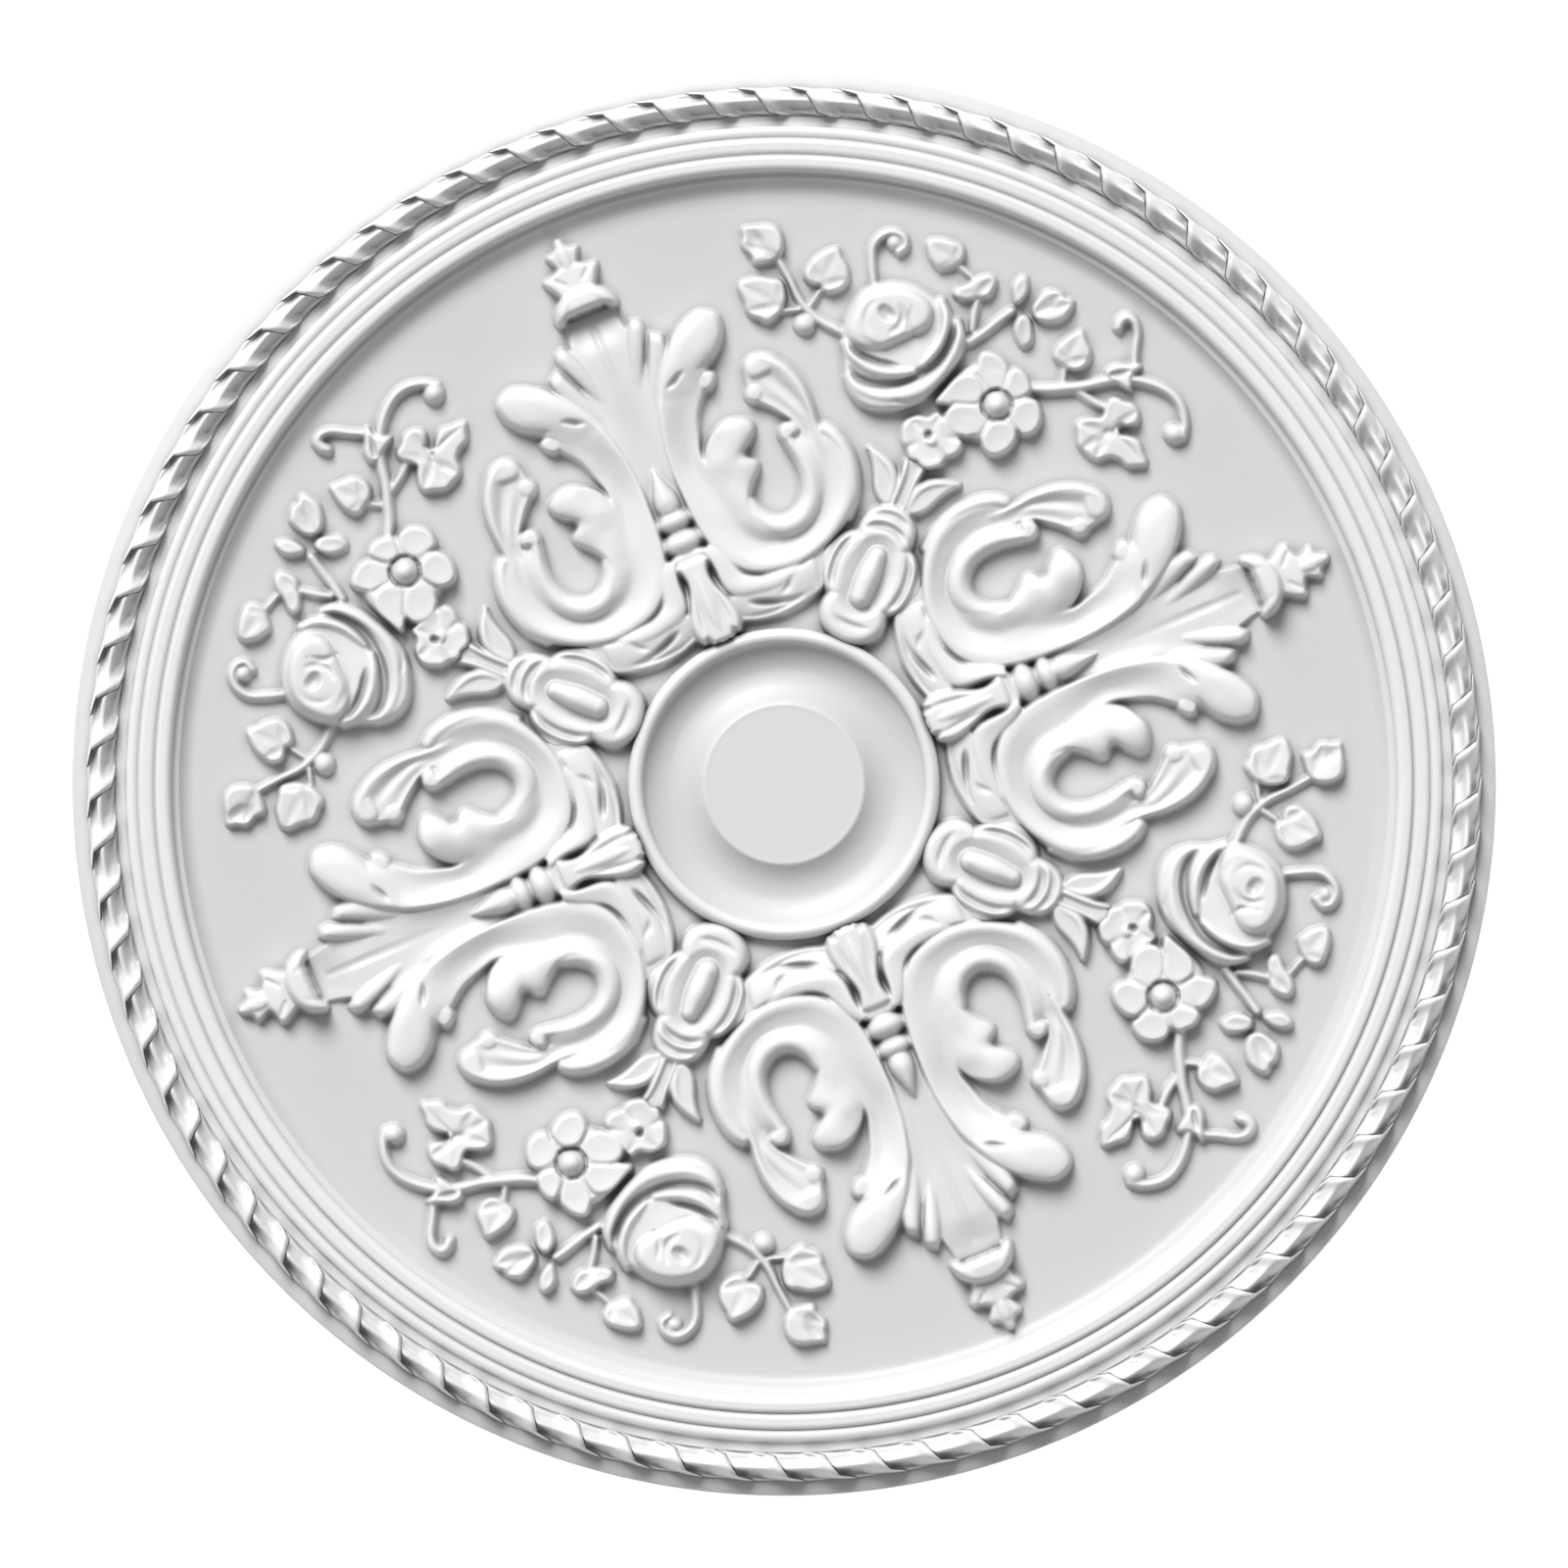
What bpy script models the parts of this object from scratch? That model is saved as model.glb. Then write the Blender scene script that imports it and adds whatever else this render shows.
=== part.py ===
"""Ceiling rose: one moulded casting with a rope rim, acanthus scrolls, rose sprays and a centre dish.

It lies on its flat back with the carved face up. The origin is the middle of the back, and +Z leaves
the ceiling. Metres throughout. Motifs are drawn in carving units, of which CARVING_SPAN make up the
radius of the flat field, so the carving grows and shrinks with the field.
"""

import math

import bpy
import numpy as np

# Driving dimensions
OVERALL_DIAMETER = 0.832
FIELD_THICKNESS = 0.017
CARVING_RELIEF = 0.020

# Rim, from the outside inwards
EDGE_HEIGHT = 0.024
EDGE_ROUNDING = 0.003
LIP_WIDTH = 0.0065
LIP_GROOVE_DEPTH = 0.002
ROPE_WIDTH = 0.0195
ROPE_CREST_HEIGHT = 0.040
ROPE_TWISTS = 85
ROPE_TWIST_DEPTH = 0.0035
ROPE_LAY = 1.15
OUTER_COVE_WIDTH = 0.005
OUTER_COVE_HEIGHT = 0.0265
OUTER_REED_WIDTH = 0.0075
MIDDLE_REED_WIDTH = 0.0099
INNER_REED_WIDTH = 0.0101
REED_RELIEF = 0.0032
REED_STEP = 0.0008
INNER_STEP_WIDTH = 0.0025
INNER_STEP_HEIGHT = 0.0235
INNER_COVE_WIDTH = 0.009

# Centre
BOSS_RADIUS = 0.046
BOSS_HEIGHT = 0.022
DISH_RADIUS = 0.067
DISH_HEIGHT = 0.011
BEAD_RADIUS = 0.0855
BEAD_WIDTH = 0.0115
BEAD_HEIGHT = 0.0275

# Facets
RING_SIDES = 96
CENTRE_SIDES = 48
CARVING_COLUMNS = 720
CARVED_TRIANGLES = 5250
RASTER_STEP = 1.5
SOFTENING = 1.6
FOOT_SHARE = 0.04

# Colour
WHITE = (0.86, 0.86, 0.85, 1.0)
ROUGHNESS = 0.45

CARVING_SPAN = 346.0
QUARTER_TURN = math.pi / 2
FINIAL_BEARING = math.radians(112.7)
SPRAY_BEARING = FINIAL_BEARING - QUARTER_TURN / 2


# Smooth lines and the lumps that follow them

def smooth_line(rows, steps=5):
    """Rows of x, y, half width and height on a smooth line through the given ones."""
    rows = np.array(rows, float)
    held = np.vstack([2 * rows[0] - rows[1], rows, 2 * rows[-1] - rows[-2]])
    line = []
    for before, start, end, after in zip(held, held[1:], held[2:], held[3:]):
        for t in np.arange(steps) / steps:
            line.append(
                0.5 * (2 * start + (end - before) * t
                       + (2 * before - 5 * start + 4 * end - after) * t**2
                       + (3 * start - before - 3 * end + after) * t**3)
            )
    line.append(rows[-1])
    line = np.array(line)
    line[:, 2] = np.maximum(line[:, 2], 0.3)
    return line


def nearest_on_line(x, y, line):
    """The share of the half width from the middle out, the half width and the height at each point."""
    share = np.full(x.shape, np.inf)
    width = np.ones(x.shape)
    height = np.zeros(x.shape)
    for start, end in zip(line, line[1:]):
        run = end[:2] - start[:2]
        place = ((x - start[0]) * run[0] + (y - start[1]) * run[1]) / max(run @ run, 1e-9)
        place = np.clip(place, 0, 1)
        half = start[2] + place * (end[2] - start[2])
        away = np.hypot(x - start[0] - place * run[0], y - start[1] - place * run[1]) / half
        closer = away < share
        share = np.where(closer, away, share)
        width = np.where(closer, half, width)
        height = np.where(closer, start[3] + place * (end[3] - start[3]), height)
    return share, width, height


def inside_distance(x, y, corners):
    """Distance in from a closed outline, negative outside it."""
    away = np.full(x.shape, np.inf)
    inside = np.zeros(x.shape, bool)
    for (ax, ay), (bx, by) in zip(corners, corners[1:] + corners[:1]):
        run_x, run_y = bx - ax, by - ay
        place = ((x - ax) * run_x + (y - ay) * run_y) / (run_x**2 + run_y**2)
        place = np.clip(place, 0, 1)
        away = np.minimum(away, np.hypot(x - ax - place * run_x, y - ay - place * run_y))
        crosses = (ay > y) != (by > y)
        with np.errstate(divide="ignore", invalid="ignore"):
            left = x < ax + (y - ay) * run_x / run_y
        inside ^= crosses & left
    return np.where(inside, away, -away)


def rounded(share):
    """A quarter-round shoulder: nothing at 0, full height from 1 on."""
    return np.sqrt(1 - (1 - np.clip(share, 0, 1)) ** 2)


class Carving:
    """Heights above the field at a set of points, raised one motif at a time."""

    def __init__(self, x, y):
        self.x = x
        self.y = y
        self.z = np.zeros(x.shape)

    def near(self, x_low, x_high, y_low, y_high):
        """Indices of the points in a box."""
        return np.nonzero((self.x > x_low) & (self.x < x_high) & (self.y > y_low) & (self.y < y_high))[0]

    def lay(self, where, z, over):
        """Keeps the higher of old and new, or covers the old wherever the new one stands."""
        if over:
            self.z[where] = np.where(z > 0, z, self.z[where])
        else:
            self.z[where] = np.maximum(self.z[where], z)

    def band(self, rows, edge=4.0, hollow=0.0, rim=0.85, over=False):
        """A raised band along a line, with a shoulder of the edge width and perhaps a hollow."""
        line = smooth_line(rows)
        reach = line[:, 2].max()
        low, high = line[:, :2].min(axis=0) - reach, line[:, :2].max(axis=0) + reach
        where = self.near(low[0], high[0], low[1], high[1])
        if len(where):
            share, width, height = nearest_on_line(self.x[where], self.y[where], line)
            z = height * rounded((1 - share) * width / np.minimum(edge, width))
            z = z - hollow * np.clip(1 - (share / rim) ** 2, 0, 1)
            self.lay(where, np.where(share < 1, z, 0), over)

    def groove(self, rows, depth):
        """A soft groove cut along a line."""
        line = smooth_line(rows)
        reach = line[:, 2].max()
        low, high = line[:, :2].min(axis=0) - reach, line[:, :2].max(axis=0) + reach
        where = self.near(low[0], high[0], low[1], high[1])
        if len(where):
            share, _, strength = nearest_on_line(self.x[where], self.y[where], line)
            cut = depth * strength * np.clip(1 - share**2, 0, 1)
            self.z[where] = np.maximum(self.z[where] - cut, 0)

    def plate(self, corners, height, edge=4.0, hollow=0.0, rim=6.0, tilt=(0, 0), over=False):
        """A raised leaf with the given outline, a rounded edge and perhaps a hollow middle."""
        middle = np.mean(corners, axis=0)
        low, high = np.min(corners, axis=0), np.max(corners, axis=0)
        where = self.near(low[0], high[0], low[1], high[1])
        if len(where):
            x, y = self.x[where], self.y[where]
            depth = inside_distance(x, y, corners)
            full = height + tilt[0] * (x - middle[0]) + tilt[1] * (y - middle[1])
            z = full * rounded(depth / edge) - hollow * np.clip((depth - edge * 0.6) / rim, 0, 1)
            self.lay(where, np.where(depth > 0, z, 0), over)

    def mound(self, middle, half_sizes, height, turn=0.0, edge=None, hollow=0.0, rim=0.85, over=False):
        """A lump on an elliptical foot: a dome, or a dish where it has an edge."""
        reach = max(half_sizes)
        where = self.near(middle[0] - reach, middle[0] + reach, middle[1] - reach, middle[1] + reach)
        if len(where):
            cos, sin = math.cos(math.radians(turn)), math.sin(math.radians(turn))
            x, y = self.x[where] - middle[0], self.y[where] - middle[1]
            share = np.hypot((x * cos + y * sin) / half_sizes[0], (y * cos - x * sin) / half_sizes[1])
            shoulder = (1 - share) * min(half_sizes) / edge if edge else 1 - share
            z = height * rounded(shoulder) - hollow * np.clip(1 - (share / rim) ** 2, 0, 1)
            self.lay(where, np.where(share < 1, z, 0), over)


# Motifs about a finial: x to its right, y away from the centre, right half only

def carve_scroll(carving):
    """Half of the acanthus pair: a crescent, a body curled round a pocket, and its leaves."""
    carving.plate(
        [(12, 96), (26, 93), (44, 92), (60, 95), (56, 101), (50, 106), (38, 108), (24, 110), (15, 108)],
        5.5, edge=4, hollow=2.0, rim=5,
    )
    body = [
        (9, 184), (9, 205), (13, 223), (20, 241), (30, 255), (45, 262), (52, 250), (51, 234), (42, 223),
        (36, 213), (32, 198), (34, 176), (42, 152), (58, 142), (76, 147), (83, 162), (82, 184), (88, 190),
        (84, 197), (72, 211), (70, 222), (84, 228), (98, 214), (101, 204), (99, 183), (108, 180),
        (112, 166), (110, 150), (102, 135), (90, 126), (75, 119), (60, 115), (42, 115), (28, 121), (18, 130),
        (11, 144), (9, 164),
    ]
    carving.plate(body, 11.5, edge=4)
    carving.groove(
        [(36, 240, 8, 0.5), (27, 222, 10, 1), (20, 203, 9, 1), (18, 184, 8, 0.9), (20, 165, 9, 0.8),
         (28, 146, 10, 0.9), (41, 132, 9, 1.1), (60, 127.5, 9, 1.2), (79, 134, 9, 1.1), (90, 150, 7, 1),
         (92, 168, 6, 1), (93, 188, 6, 0.9), (91, 205, 8, 0.9), (86, 218, 9, 0.9)], 5,
    )
    carving.band(
        [(78, 121, 5, 9), (96, 134, 6, 12), (104, 149, 7, 13), (105.5, 163, 6.5, 13), (103.5, 176, 6, 12)], edge=6,
    )
    carving.plate(
        [(24, 240), (28, 253), (37, 263), (46, 270), (54, 274), (62, 273), (68, 268), (70, 261), (67, 253),
         (60, 248), (51, 242), (44, 235), (34, 232)],
        15, edge=12, tilt=(0.03, 0.02),
    )
    carving.mound((51.5, 236), (4.5, 5), 10)
    leaf = [
        (32, 200), (38, 206), (46, 209), (55, 209), (63, 206), (66, 202), (64, 196), (58, 190), (53, 185),
        (58, 183), (60, 179), (57, 175), (50, 169), (47, 162), (46, 154), (42, 150), (37, 158), (31, 172),
        (29, 186),
    ]
    carving.plate(leaf, 14.5, edge=7, hollow=0.5)
    carving.band(
        [(46, 158, 4, 12), (47.5, 147, 4.5, 14), (59, 139.5, 4.2, 13.5), (73, 143, 4.2, 13.5),
         (81, 154, 4, 13.5), (81.5, 170, 4, 13.5), (79, 184, 4.5, 13), (81.5, 190, 5, 13)], edge=4,
    )
    outer_leaf = [
        (99, 190), (101, 203), (100.5, 214), (97, 225), (90, 235), (81, 239.5), (74, 237), (70, 230),
        (70, 223), (67, 217), (73, 209), (80, 202), (86, 194), (90, 188),
    ]
    carving.plate(outer_leaf, 12.5, edge=4, hollow=4.5, rim=6, tilt=(0.05, 0.02))


def carve_finial(carving):
    """The bud, bell cap and fan on the axis, the binding below them and the bellflower."""
    carving.plate([(-1, 196), (7, 203), (11, 220), (18, 240), (24, 256), (20, 276), (-1, 280)], 7, edge=4, hollow=2.5, rim=8)
    carving.band([(12, 244, 3, 6), (20, 257, 5, 8), (27, 267, 5.5, 10), (29, 269, 5, 10)], edge=5)
    carving.band([(9, 258, 3, 6), (14, 272, 5, 8.5), (20, 280, 5, 10), (21, 281, 4.5, 10)], edge=5)
    carving.plate([(-1, 280), (12, 283), (17, 290), (17, 298), (-1, 298)], 7, edge=4)
    carving.plate(
        [(-1, 296), (4, 297), (8, 298.5), (12, 296), (16, 292), (19.5, 292), (19, 299), (15.5, 306), (10, 311), (4, 313.5), (-1, 314)],
        16, edge=11, tilt=(0, -0.2), over=True,
    )
    crown = [(-1, 309), (10, 310), (14, 315), (18, 326), (13, 325), (7.5, 328), (12, 337), (6, 338), (3, 344), (-1, 345)]
    carving.plate(crown, 9, edge=5)
    carving.band([(0, 198, 1, 9), (0, 188, 5, 14), (0, 178, 8.5, 15), (0, 175, 9, 14)], edge=8)
    carving.mound((0, 165.5), (10.5, 6), 16)
    carving.mound((0, 152), (11.5, 7), 16.5)
    carving.mound((0, 146), (9, 6), 13)
    bell = [(-1, 142), (11, 141), (14, 132), (14.5, 118), (14, 106), (11, 98), (12, 93), (7, 91), (3, 89), (-1, 89)]
    carving.plate(bell, 14.5, edge=6, tilt=(0, 0.03))
    carving.groove([(8, 134, 3, 0.8), (9.5, 122, 3.5, 1), (9, 108, 2, 0.3)], 5)
    carving.band([(6, 139, 4, 14), (14.5, 130, 4.5, 13.5), (22, 118, 4.5, 12.5), (34, 112, 4, 11.5), (52, 111, 3.5, 10)])


# Motifs about a quatrefoil: x to its right, y away from the centre

def carve_quatrefoil(carving):
    """Four ringed lobes about an oval stone, right half only."""
    lobes = (((0, 156), (17.5, 19)), ((0, 105), (19.5, 17)), ((10, 133), (22.5, 22.5)))
    for middle, (wide, high) in lobes:
        carving.mound(middle, (wide, high), 12.5, edge=4)
    for middle, (wide, high) in lobes:
        for share in (0.76, 0.5):
            ring = [
                (middle[0] + wide * share * math.sin(t), middle[1] + high * share * math.cos(t), 1.7, 1)
                for t in np.linspace(0, 2 * math.pi, 13)
            ]
            carving.groove(ring, 2.2)
    carving.mound((0, 132), (14.5, 26), 13.5, edge=4, hollow=4.5, rim=0.95, over=True)
    carving.mound((0, 131), (9, 21), 17.5)


def carve_sprigs(carving):
    """Three small leaves above a quatrefoil, right half only."""
    side = [(5, 174), (7, 186), (13, 195), (21, 200), (29.5, 201.5), (25, 193), (19, 184), (11, 174)]
    carving.plate(side, 8.5, edge=3, hollow=3, rim=3)
    carving.band([(0, 170, 4.5, 8), (-2, 190, 4.5, 8), (-4, 206, 4.5, 8)], hollow=1.5)


def carve_leaf(carving, middle, bearing, length, width, height, fullness=0.15):
    """An ivy leaf: a broad body with two shoulders and a point."""
    cos, sin = math.cos(math.radians(bearing)), math.sin(math.radians(bearing))
    outline = [
        (-0.5, 0.12), (-0.42, 0.62), (-0.12, 1.0), (0.12 + fullness, 0.78), (0.5, 0.06),
        (0.5, -0.06), (0.12 + fullness, -0.78), (-0.12, -1.0), (-0.42, -0.62), (-0.5, -0.12),
    ]
    corners = [
        (middle[0] + cos * along * length - sin * aside * width, middle[1] + sin * along * length + cos * aside * width)
        for along, aside in outline
    ]
    carving.plate(corners, height, edge=5, hollow=1.2, rim=5)


def carve_spray_stems(carving):
    """The branches and tendrils of a spray."""
    stems = (
        [(-66, 257, 3.2, 6), (-84, 258.5, 3, 6), (-98, 264.5, 2.8, 6), (-109, 274, 2.6, 6), (-120, 283, 2.4, 6)],
        [(-97, 260, 2.2, 5), (-107, 255, 2.2, 5)],
        [(-92, 264, 2.2, 5), (-90, 275, 2.2, 5)],
        [(-61, 288, 2.8, 6), (-67, 299, 3, 7), (-71, 309, 3, 7), (-69.5, 317, 3, 8), (-64, 322.5, 3, 8),
         (-57, 322.5, 2.8, 8), (-53.5, 318, 2.6, 8), (-56, 313, 2.6, 8)],
        [(-20, 319, 2.2, 5), (-10, 315.5, 2.2, 5)],
        [(-3, 306, 2.8, 6), (-1.5, 297, 2.8, 6), (1, 287, 2.8, 6)],
        [(2, 280, 3.2, 7), (8, 289, 3.2, 7), (13, 298, 3.2, 7), (18, 306, 3.2, 8)],
        [(59, 288, 2.6, 5), (62, 278, 2.6, 5)],
        [(44, 268, 3.8, 8), (55, 272, 3.8, 8), (65, 277, 3.8, 8), (75, 282.5, 3.6, 8), (84, 289, 3.6, 8),
         (93, 294, 3.6, 8), (103, 297, 3.4, 8), (115, 298, 3.2, 8), (125, 296, 3.2, 8), (132, 291, 3.2, 8),
         (137, 283, 3.2, 8), (138.5, 276, 3.2, 8)],
        [(97, 303, 2.8, 7), (93.5, 313, 2.8, 7), (91, 322, 3, 7), (87, 327.5, 3.2, 8), (82, 328.5, 3.8, 8),
         (79.5, 325, 4, 8), (79.5, 321, 3.5, 8)],
        [(72, 277.5, 3, 6), (82, 275.5, 3.2, 6), (92, 275, 3, 7)],
    )
    for stem in stems:
        carving.band(stem)
    carving.mound((133.5, 276), (7, 6.5), 10)
    carving.mound((-60.5, 317), (5.5, 5), 8)
    carving.mound((-91, 253), (7, 6.5), 9)


def carve_spray_leaves(carving):
    """The leaves of a spray, each by its middle, bearing, length, half width and height."""
    carve_leaf(carving, (-133, 287), 150, 27, 12.5, 10)
    carve_leaf(carving, (-121, 258), 188, 32, 13, 10)
    carve_leaf(carving, (-90, 288), 92, 30, 13, 10)
    carve_leaf(carving, (-31, 321.5), 165, 27, 9.5, 9.5)
    carve_leaf(carving, (60, 298), 95, 31, 11.5, 10)
    carve_leaf(carving, (-6, 310), 45, 27, 6.5, 9)
    carve_leaf(carving, (18, 320), 88, 24, 5.5, 9)
    carve_leaf(carving, (40, 317), 30, 26, 10, 10)
    carve_leaf(carving, (29, 297), 290, 22, 7.5, 9)
    carve_leaf(carving, (93, 299), 32, 25, 5, 9)
    lobed = [
        (89, 270), (89, 279), (97, 283.5), (106, 282), (113, 275), (110, 269), (101, 266), (104, 264),
        (114, 265), (120, 261), (127, 253), (120, 251), (113, 246), (107, 249), (99, 250), (96, 243), (88, 245),
        (83, 250), (80, 256), (77, 261), (81, 267),
    ]
    carving.plate(lobed, 9.5, edge=6, hollow=1.2)


def carve_flowers(carving):
    """A six-petalled flower and a smaller ragged one."""
    petals = (((21, 270), 11.5), ((39, 268), 9.5), ((49, 252), 11), ((39.5, 234), 11.5), ((20, 236), 11.5), ((11, 252), 12))
    for middle, radius in petals:
        carving.mound(middle, (radius, radius), 11, edge=4, hollow=1.5, rim=0.8)
    carving.mound((31, 252), (12, 12), 9, edge=4)
    carving.mound((31, 252), (8.5, 8), 15)
    for petal in range(5):
        bearing = math.radians(102 + 72 * petal)
        middle = (2.5 + 10 * math.cos(bearing), 220 + 9.5 * math.sin(bearing))
        carving.mound(middle, (10, 9.5), 11, edge=3.5, hollow=1.2, rim=0.8)
    carving.mound((1.5, 219.5), (6, 6), 11, edge=3, hollow=3)


def carve_rose(carving):
    """An open rose: three rings of petals, each standing in the one below, about a rolled bud."""
    carving.mound((-34, 259.5), (34.5, 38.5), 13.5, edge=5, hollow=2, rim=0.95)
    carving.mound((-38, 266), (28.5, 31), 17.5, edge=5, hollow=2, rim=0.95, over=True)
    carving.mound((-37, 268.5), (23, 26), 17.5, edge=4, hollow=6, rim=0.95, over=True)
    bud = [(-65, 272), (-60, 285), (-50, 292), (-38, 292), (-28, 288), (-22, 279), (-26, 273), (-34, 265), (-41, 256), (-50, 252), (-60, 255)]
    carving.plate(bud, 20, edge=8, over=True)
    for radius, strength in ((15, 1.0), (8, 1.0)):
        ring = [(-49 + radius * math.cos(t), 275.5 + radius * math.sin(t), 2.0, strength) for t in np.linspace(-2.4, 1.6, 8)]
        carving.groove(ring, 2.5)
    carving.groove([(-49, 276, 4, 1), (-48, 275, 4, 1)], 5)


def carve_spray(carving):
    """One spray of a rose, two flowers, leaves and tendrils."""
    carve_spray_stems(carving)
    carve_spray_leaves(carving)
    carve_flowers(carving)
    carve_rose(carving)


def carved_heights(x, y):
    """Carving heights about one quatrefoil, which lies along +y, as shares of the tallest petal."""
    reach = np.hypot(x, y)
    aside = np.arctan2(x, y)
    from_finial = np.abs(QUARTER_TURN / 2 - np.abs(aside))
    scrolls = Carving(reach * np.sin(from_finial), reach * np.cos(from_finial))
    carve_scroll(scrolls)
    carve_finial(scrolls)
    foils = Carving(np.abs(x), y)
    carve_quatrefoil(foils)
    carve_sprigs(foils)
    spray = Carving(x, y)
    carve_spray(spray)
    return np.maximum.reduce([scrolls.z, foils.z, spray.z]) / 20


class Raster:
    """The carving of one quarter, worked out on a grid, softened, and read back anywhere on the field."""

    def __init__(self, step, softening):
        self.step = step
        self.low_x, self.low_y = -0.74 * CARVING_SPAN, 0.15 * CARVING_SPAN
        across = np.arange(self.low_x, -self.low_x + step, step)
        outward = np.arange(self.low_y, 1.04 * CARVING_SPAN, step)
        x, y = np.meshgrid(across, outward)
        self.grid = carved_heights(x.ravel(), y.ravel()).reshape(x.shape)
        self.soften(softening / step)

    def soften(self, spread):
        """A small Gaussian blur, so that meeting shapes run into each other as a casting's do."""
        taps = np.arange(-4, 5)
        weights = np.exp(-0.5 * (taps / spread) ** 2)
        weights /= weights.sum()
        for axis in (0, 1):
            self.grid = sum(w * np.roll(self.grid, t, axis) for t, w in zip(taps, weights))

    def at(self, radius, bearing):
        """Heights at places on the field, given in carving units and as a world bearing."""
        aside = (SPRAY_BEARING - bearing + QUARTER_TURN / 2) % QUARTER_TURN - QUARTER_TURN / 2
        column = (radius * np.sin(aside) - self.low_x) / self.step
        row = (radius * np.cos(aside) - self.low_y) / self.step
        column = np.clip(column, 0, self.grid.shape[1] - 1.001)
        row = np.clip(row, 0, self.grid.shape[0] - 1.001)
        i, j = row.astype(int), column.astype(int)
        v, u = row - i, column - j
        g = self.grid
        return (g[i, j] * (1 - u) + g[i, j + 1] * u) * (1 - v) + (g[i + 1, j] * (1 - u) + g[i + 1, j + 1] * u) * v


# Mesh of rings

class RingMesh:
    """Points and faces built up from closed rings about the Z axis."""

    def __init__(self):
        self.points = []
        self.faces = []
        self.kept = []

    def ring(self, bearings, radii, heights, kept=True):
        """Adds a ring and returns its indices with its bearings."""
        first = len(self.points)
        for bearing, radius, height in np.broadcast(bearings, radii, heights):
            self.points.append((radius * math.cos(bearing), radius * math.sin(bearing), height))
            self.kept.append(kept)
        return list(range(first, len(self.points))), np.array(bearings, float)

    def join(self, outer, inner):
        """Faces between two rings of any counts, with their up side out."""
        (outside, outer_bearings), (inside, inner_bearings) = outer, inner
        n, m = len(outside), len(inside)
        i = j = 0
        while i < n or j < m:
            next_outer = outer_bearings[(i + 1) % n] + 2 * math.pi * ((i + 1) // n)
            next_inner = inner_bearings[(j + 1) % m] + 2 * math.pi * ((j + 1) // m)
            here_o, here_i = outside[i % n], inside[j % m]
            if j >= m or (i < n and next_outer <= next_inner):
                self.faces.append((here_o, outside[(i + 1) % n], here_i))
                i += 1
            else:
                self.faces.append((here_o, inside[(j + 1) % m], here_i))
                j += 1


def even_bearings(count):
    """Bearings of a ring of equal sides, starting at +X."""
    return np.arange(count) * 2 * math.pi / count


def rim_profile():
    """Radius and height of each plain ring inside the rope, from the outer cove to the field's edge."""
    radius = OVERALL_DIAMETER / 2 - LIP_WIDTH - ROPE_WIDTH - OUTER_COVE_WIDTH
    profile = [(radius, OUTER_COVE_HEIGHT)]
    height = OUTER_COVE_HEIGHT
    for width in (OUTER_REED_WIDTH, MIDDLE_REED_WIDTH, INNER_REED_WIDTH):
        profile.append((radius - width * 0.56, height + REED_RELIEF))
        radius -= width
        height += REED_STEP
        profile.append((radius, height))
    profile[-1] = (radius, INNER_STEP_HEIGHT)
    radius -= INNER_STEP_WIDTH
    profile.append((radius, INNER_STEP_HEIGHT))
    radius -= INNER_COVE_WIDTH * 0.4
    profile.append((radius, FIELD_THICKNESS + (INNER_STEP_HEIGHT - FIELD_THICKNESS) * 0.35))
    radius -= INNER_COVE_WIDTH * 0.6
    profile.append((radius, FIELD_THICKNESS))
    return profile


def add_rope(mesh, outer_radius):
    """The twisted bead: a row of leaning strands, each a crest between two clefts."""
    pitch = 2 * math.pi / ROPE_TWISTS
    rows = []
    for across, lift in ((0.0, 0.0), (0.22, 0.72), (0.5, 1.0), (0.78, 0.72), (1.0, 0.0)):
        radius = outer_radius - across * ROPE_WIDTH
        foot = EDGE_HEIGHT - LIP_GROOVE_DEPTH if across < 0.5 else OUTER_COVE_HEIGHT + 0.001
        lean = (across - 0.5 + 0.6 * (across - 0.5) ** 3) * ROPE_LAY * pitch
        bearings, heights = [], []
        for twist in range(ROPE_TWISTS):
            for place, sunk in ((0.0, 1.0), (0.45, 0.0)):
                bearings.append((twist + place) * pitch - lean)
                crest = ROPE_CREST_HEIGHT - sunk * ROPE_TWIST_DEPTH
                heights.append(foot + (crest - foot) * lift)
        rows.append(mesh.ring(np.array(bearings), radius, np.array(heights)))
    for outer, inner in zip(rows, rows[1:]):
        mesh.join(outer, inner)
    return rows[0], rows[-1]


def add_rim(mesh):
    """The outer wall, the lip, the rope and the reeds; returns the ring at the field's edge."""
    radius = OVERALL_DIAMETER / 2
    sides = even_bearings(RING_SIDES)
    back = mesh.ring(sides, radius, 0.0)
    mesh.faces.append(tuple(reversed(back[0])))
    wall = mesh.ring(sides, radius, EDGE_HEIGHT - EDGE_ROUNDING)
    lip = mesh.ring(sides, radius - EDGE_ROUNDING, EDGE_HEIGHT)
    rope_outside = radius - LIP_WIDTH
    mesh.join(back, wall)
    mesh.join(wall, lip)
    rope_foot, rope_end = add_rope(mesh, rope_outside)
    mesh.join(lip, rope_foot)
    before = rope_end
    for radius, height in rim_profile():
        ring = mesh.ring(sides, radius, height)
        mesh.join(before, ring)
        before = ring
    return before, radius


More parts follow.
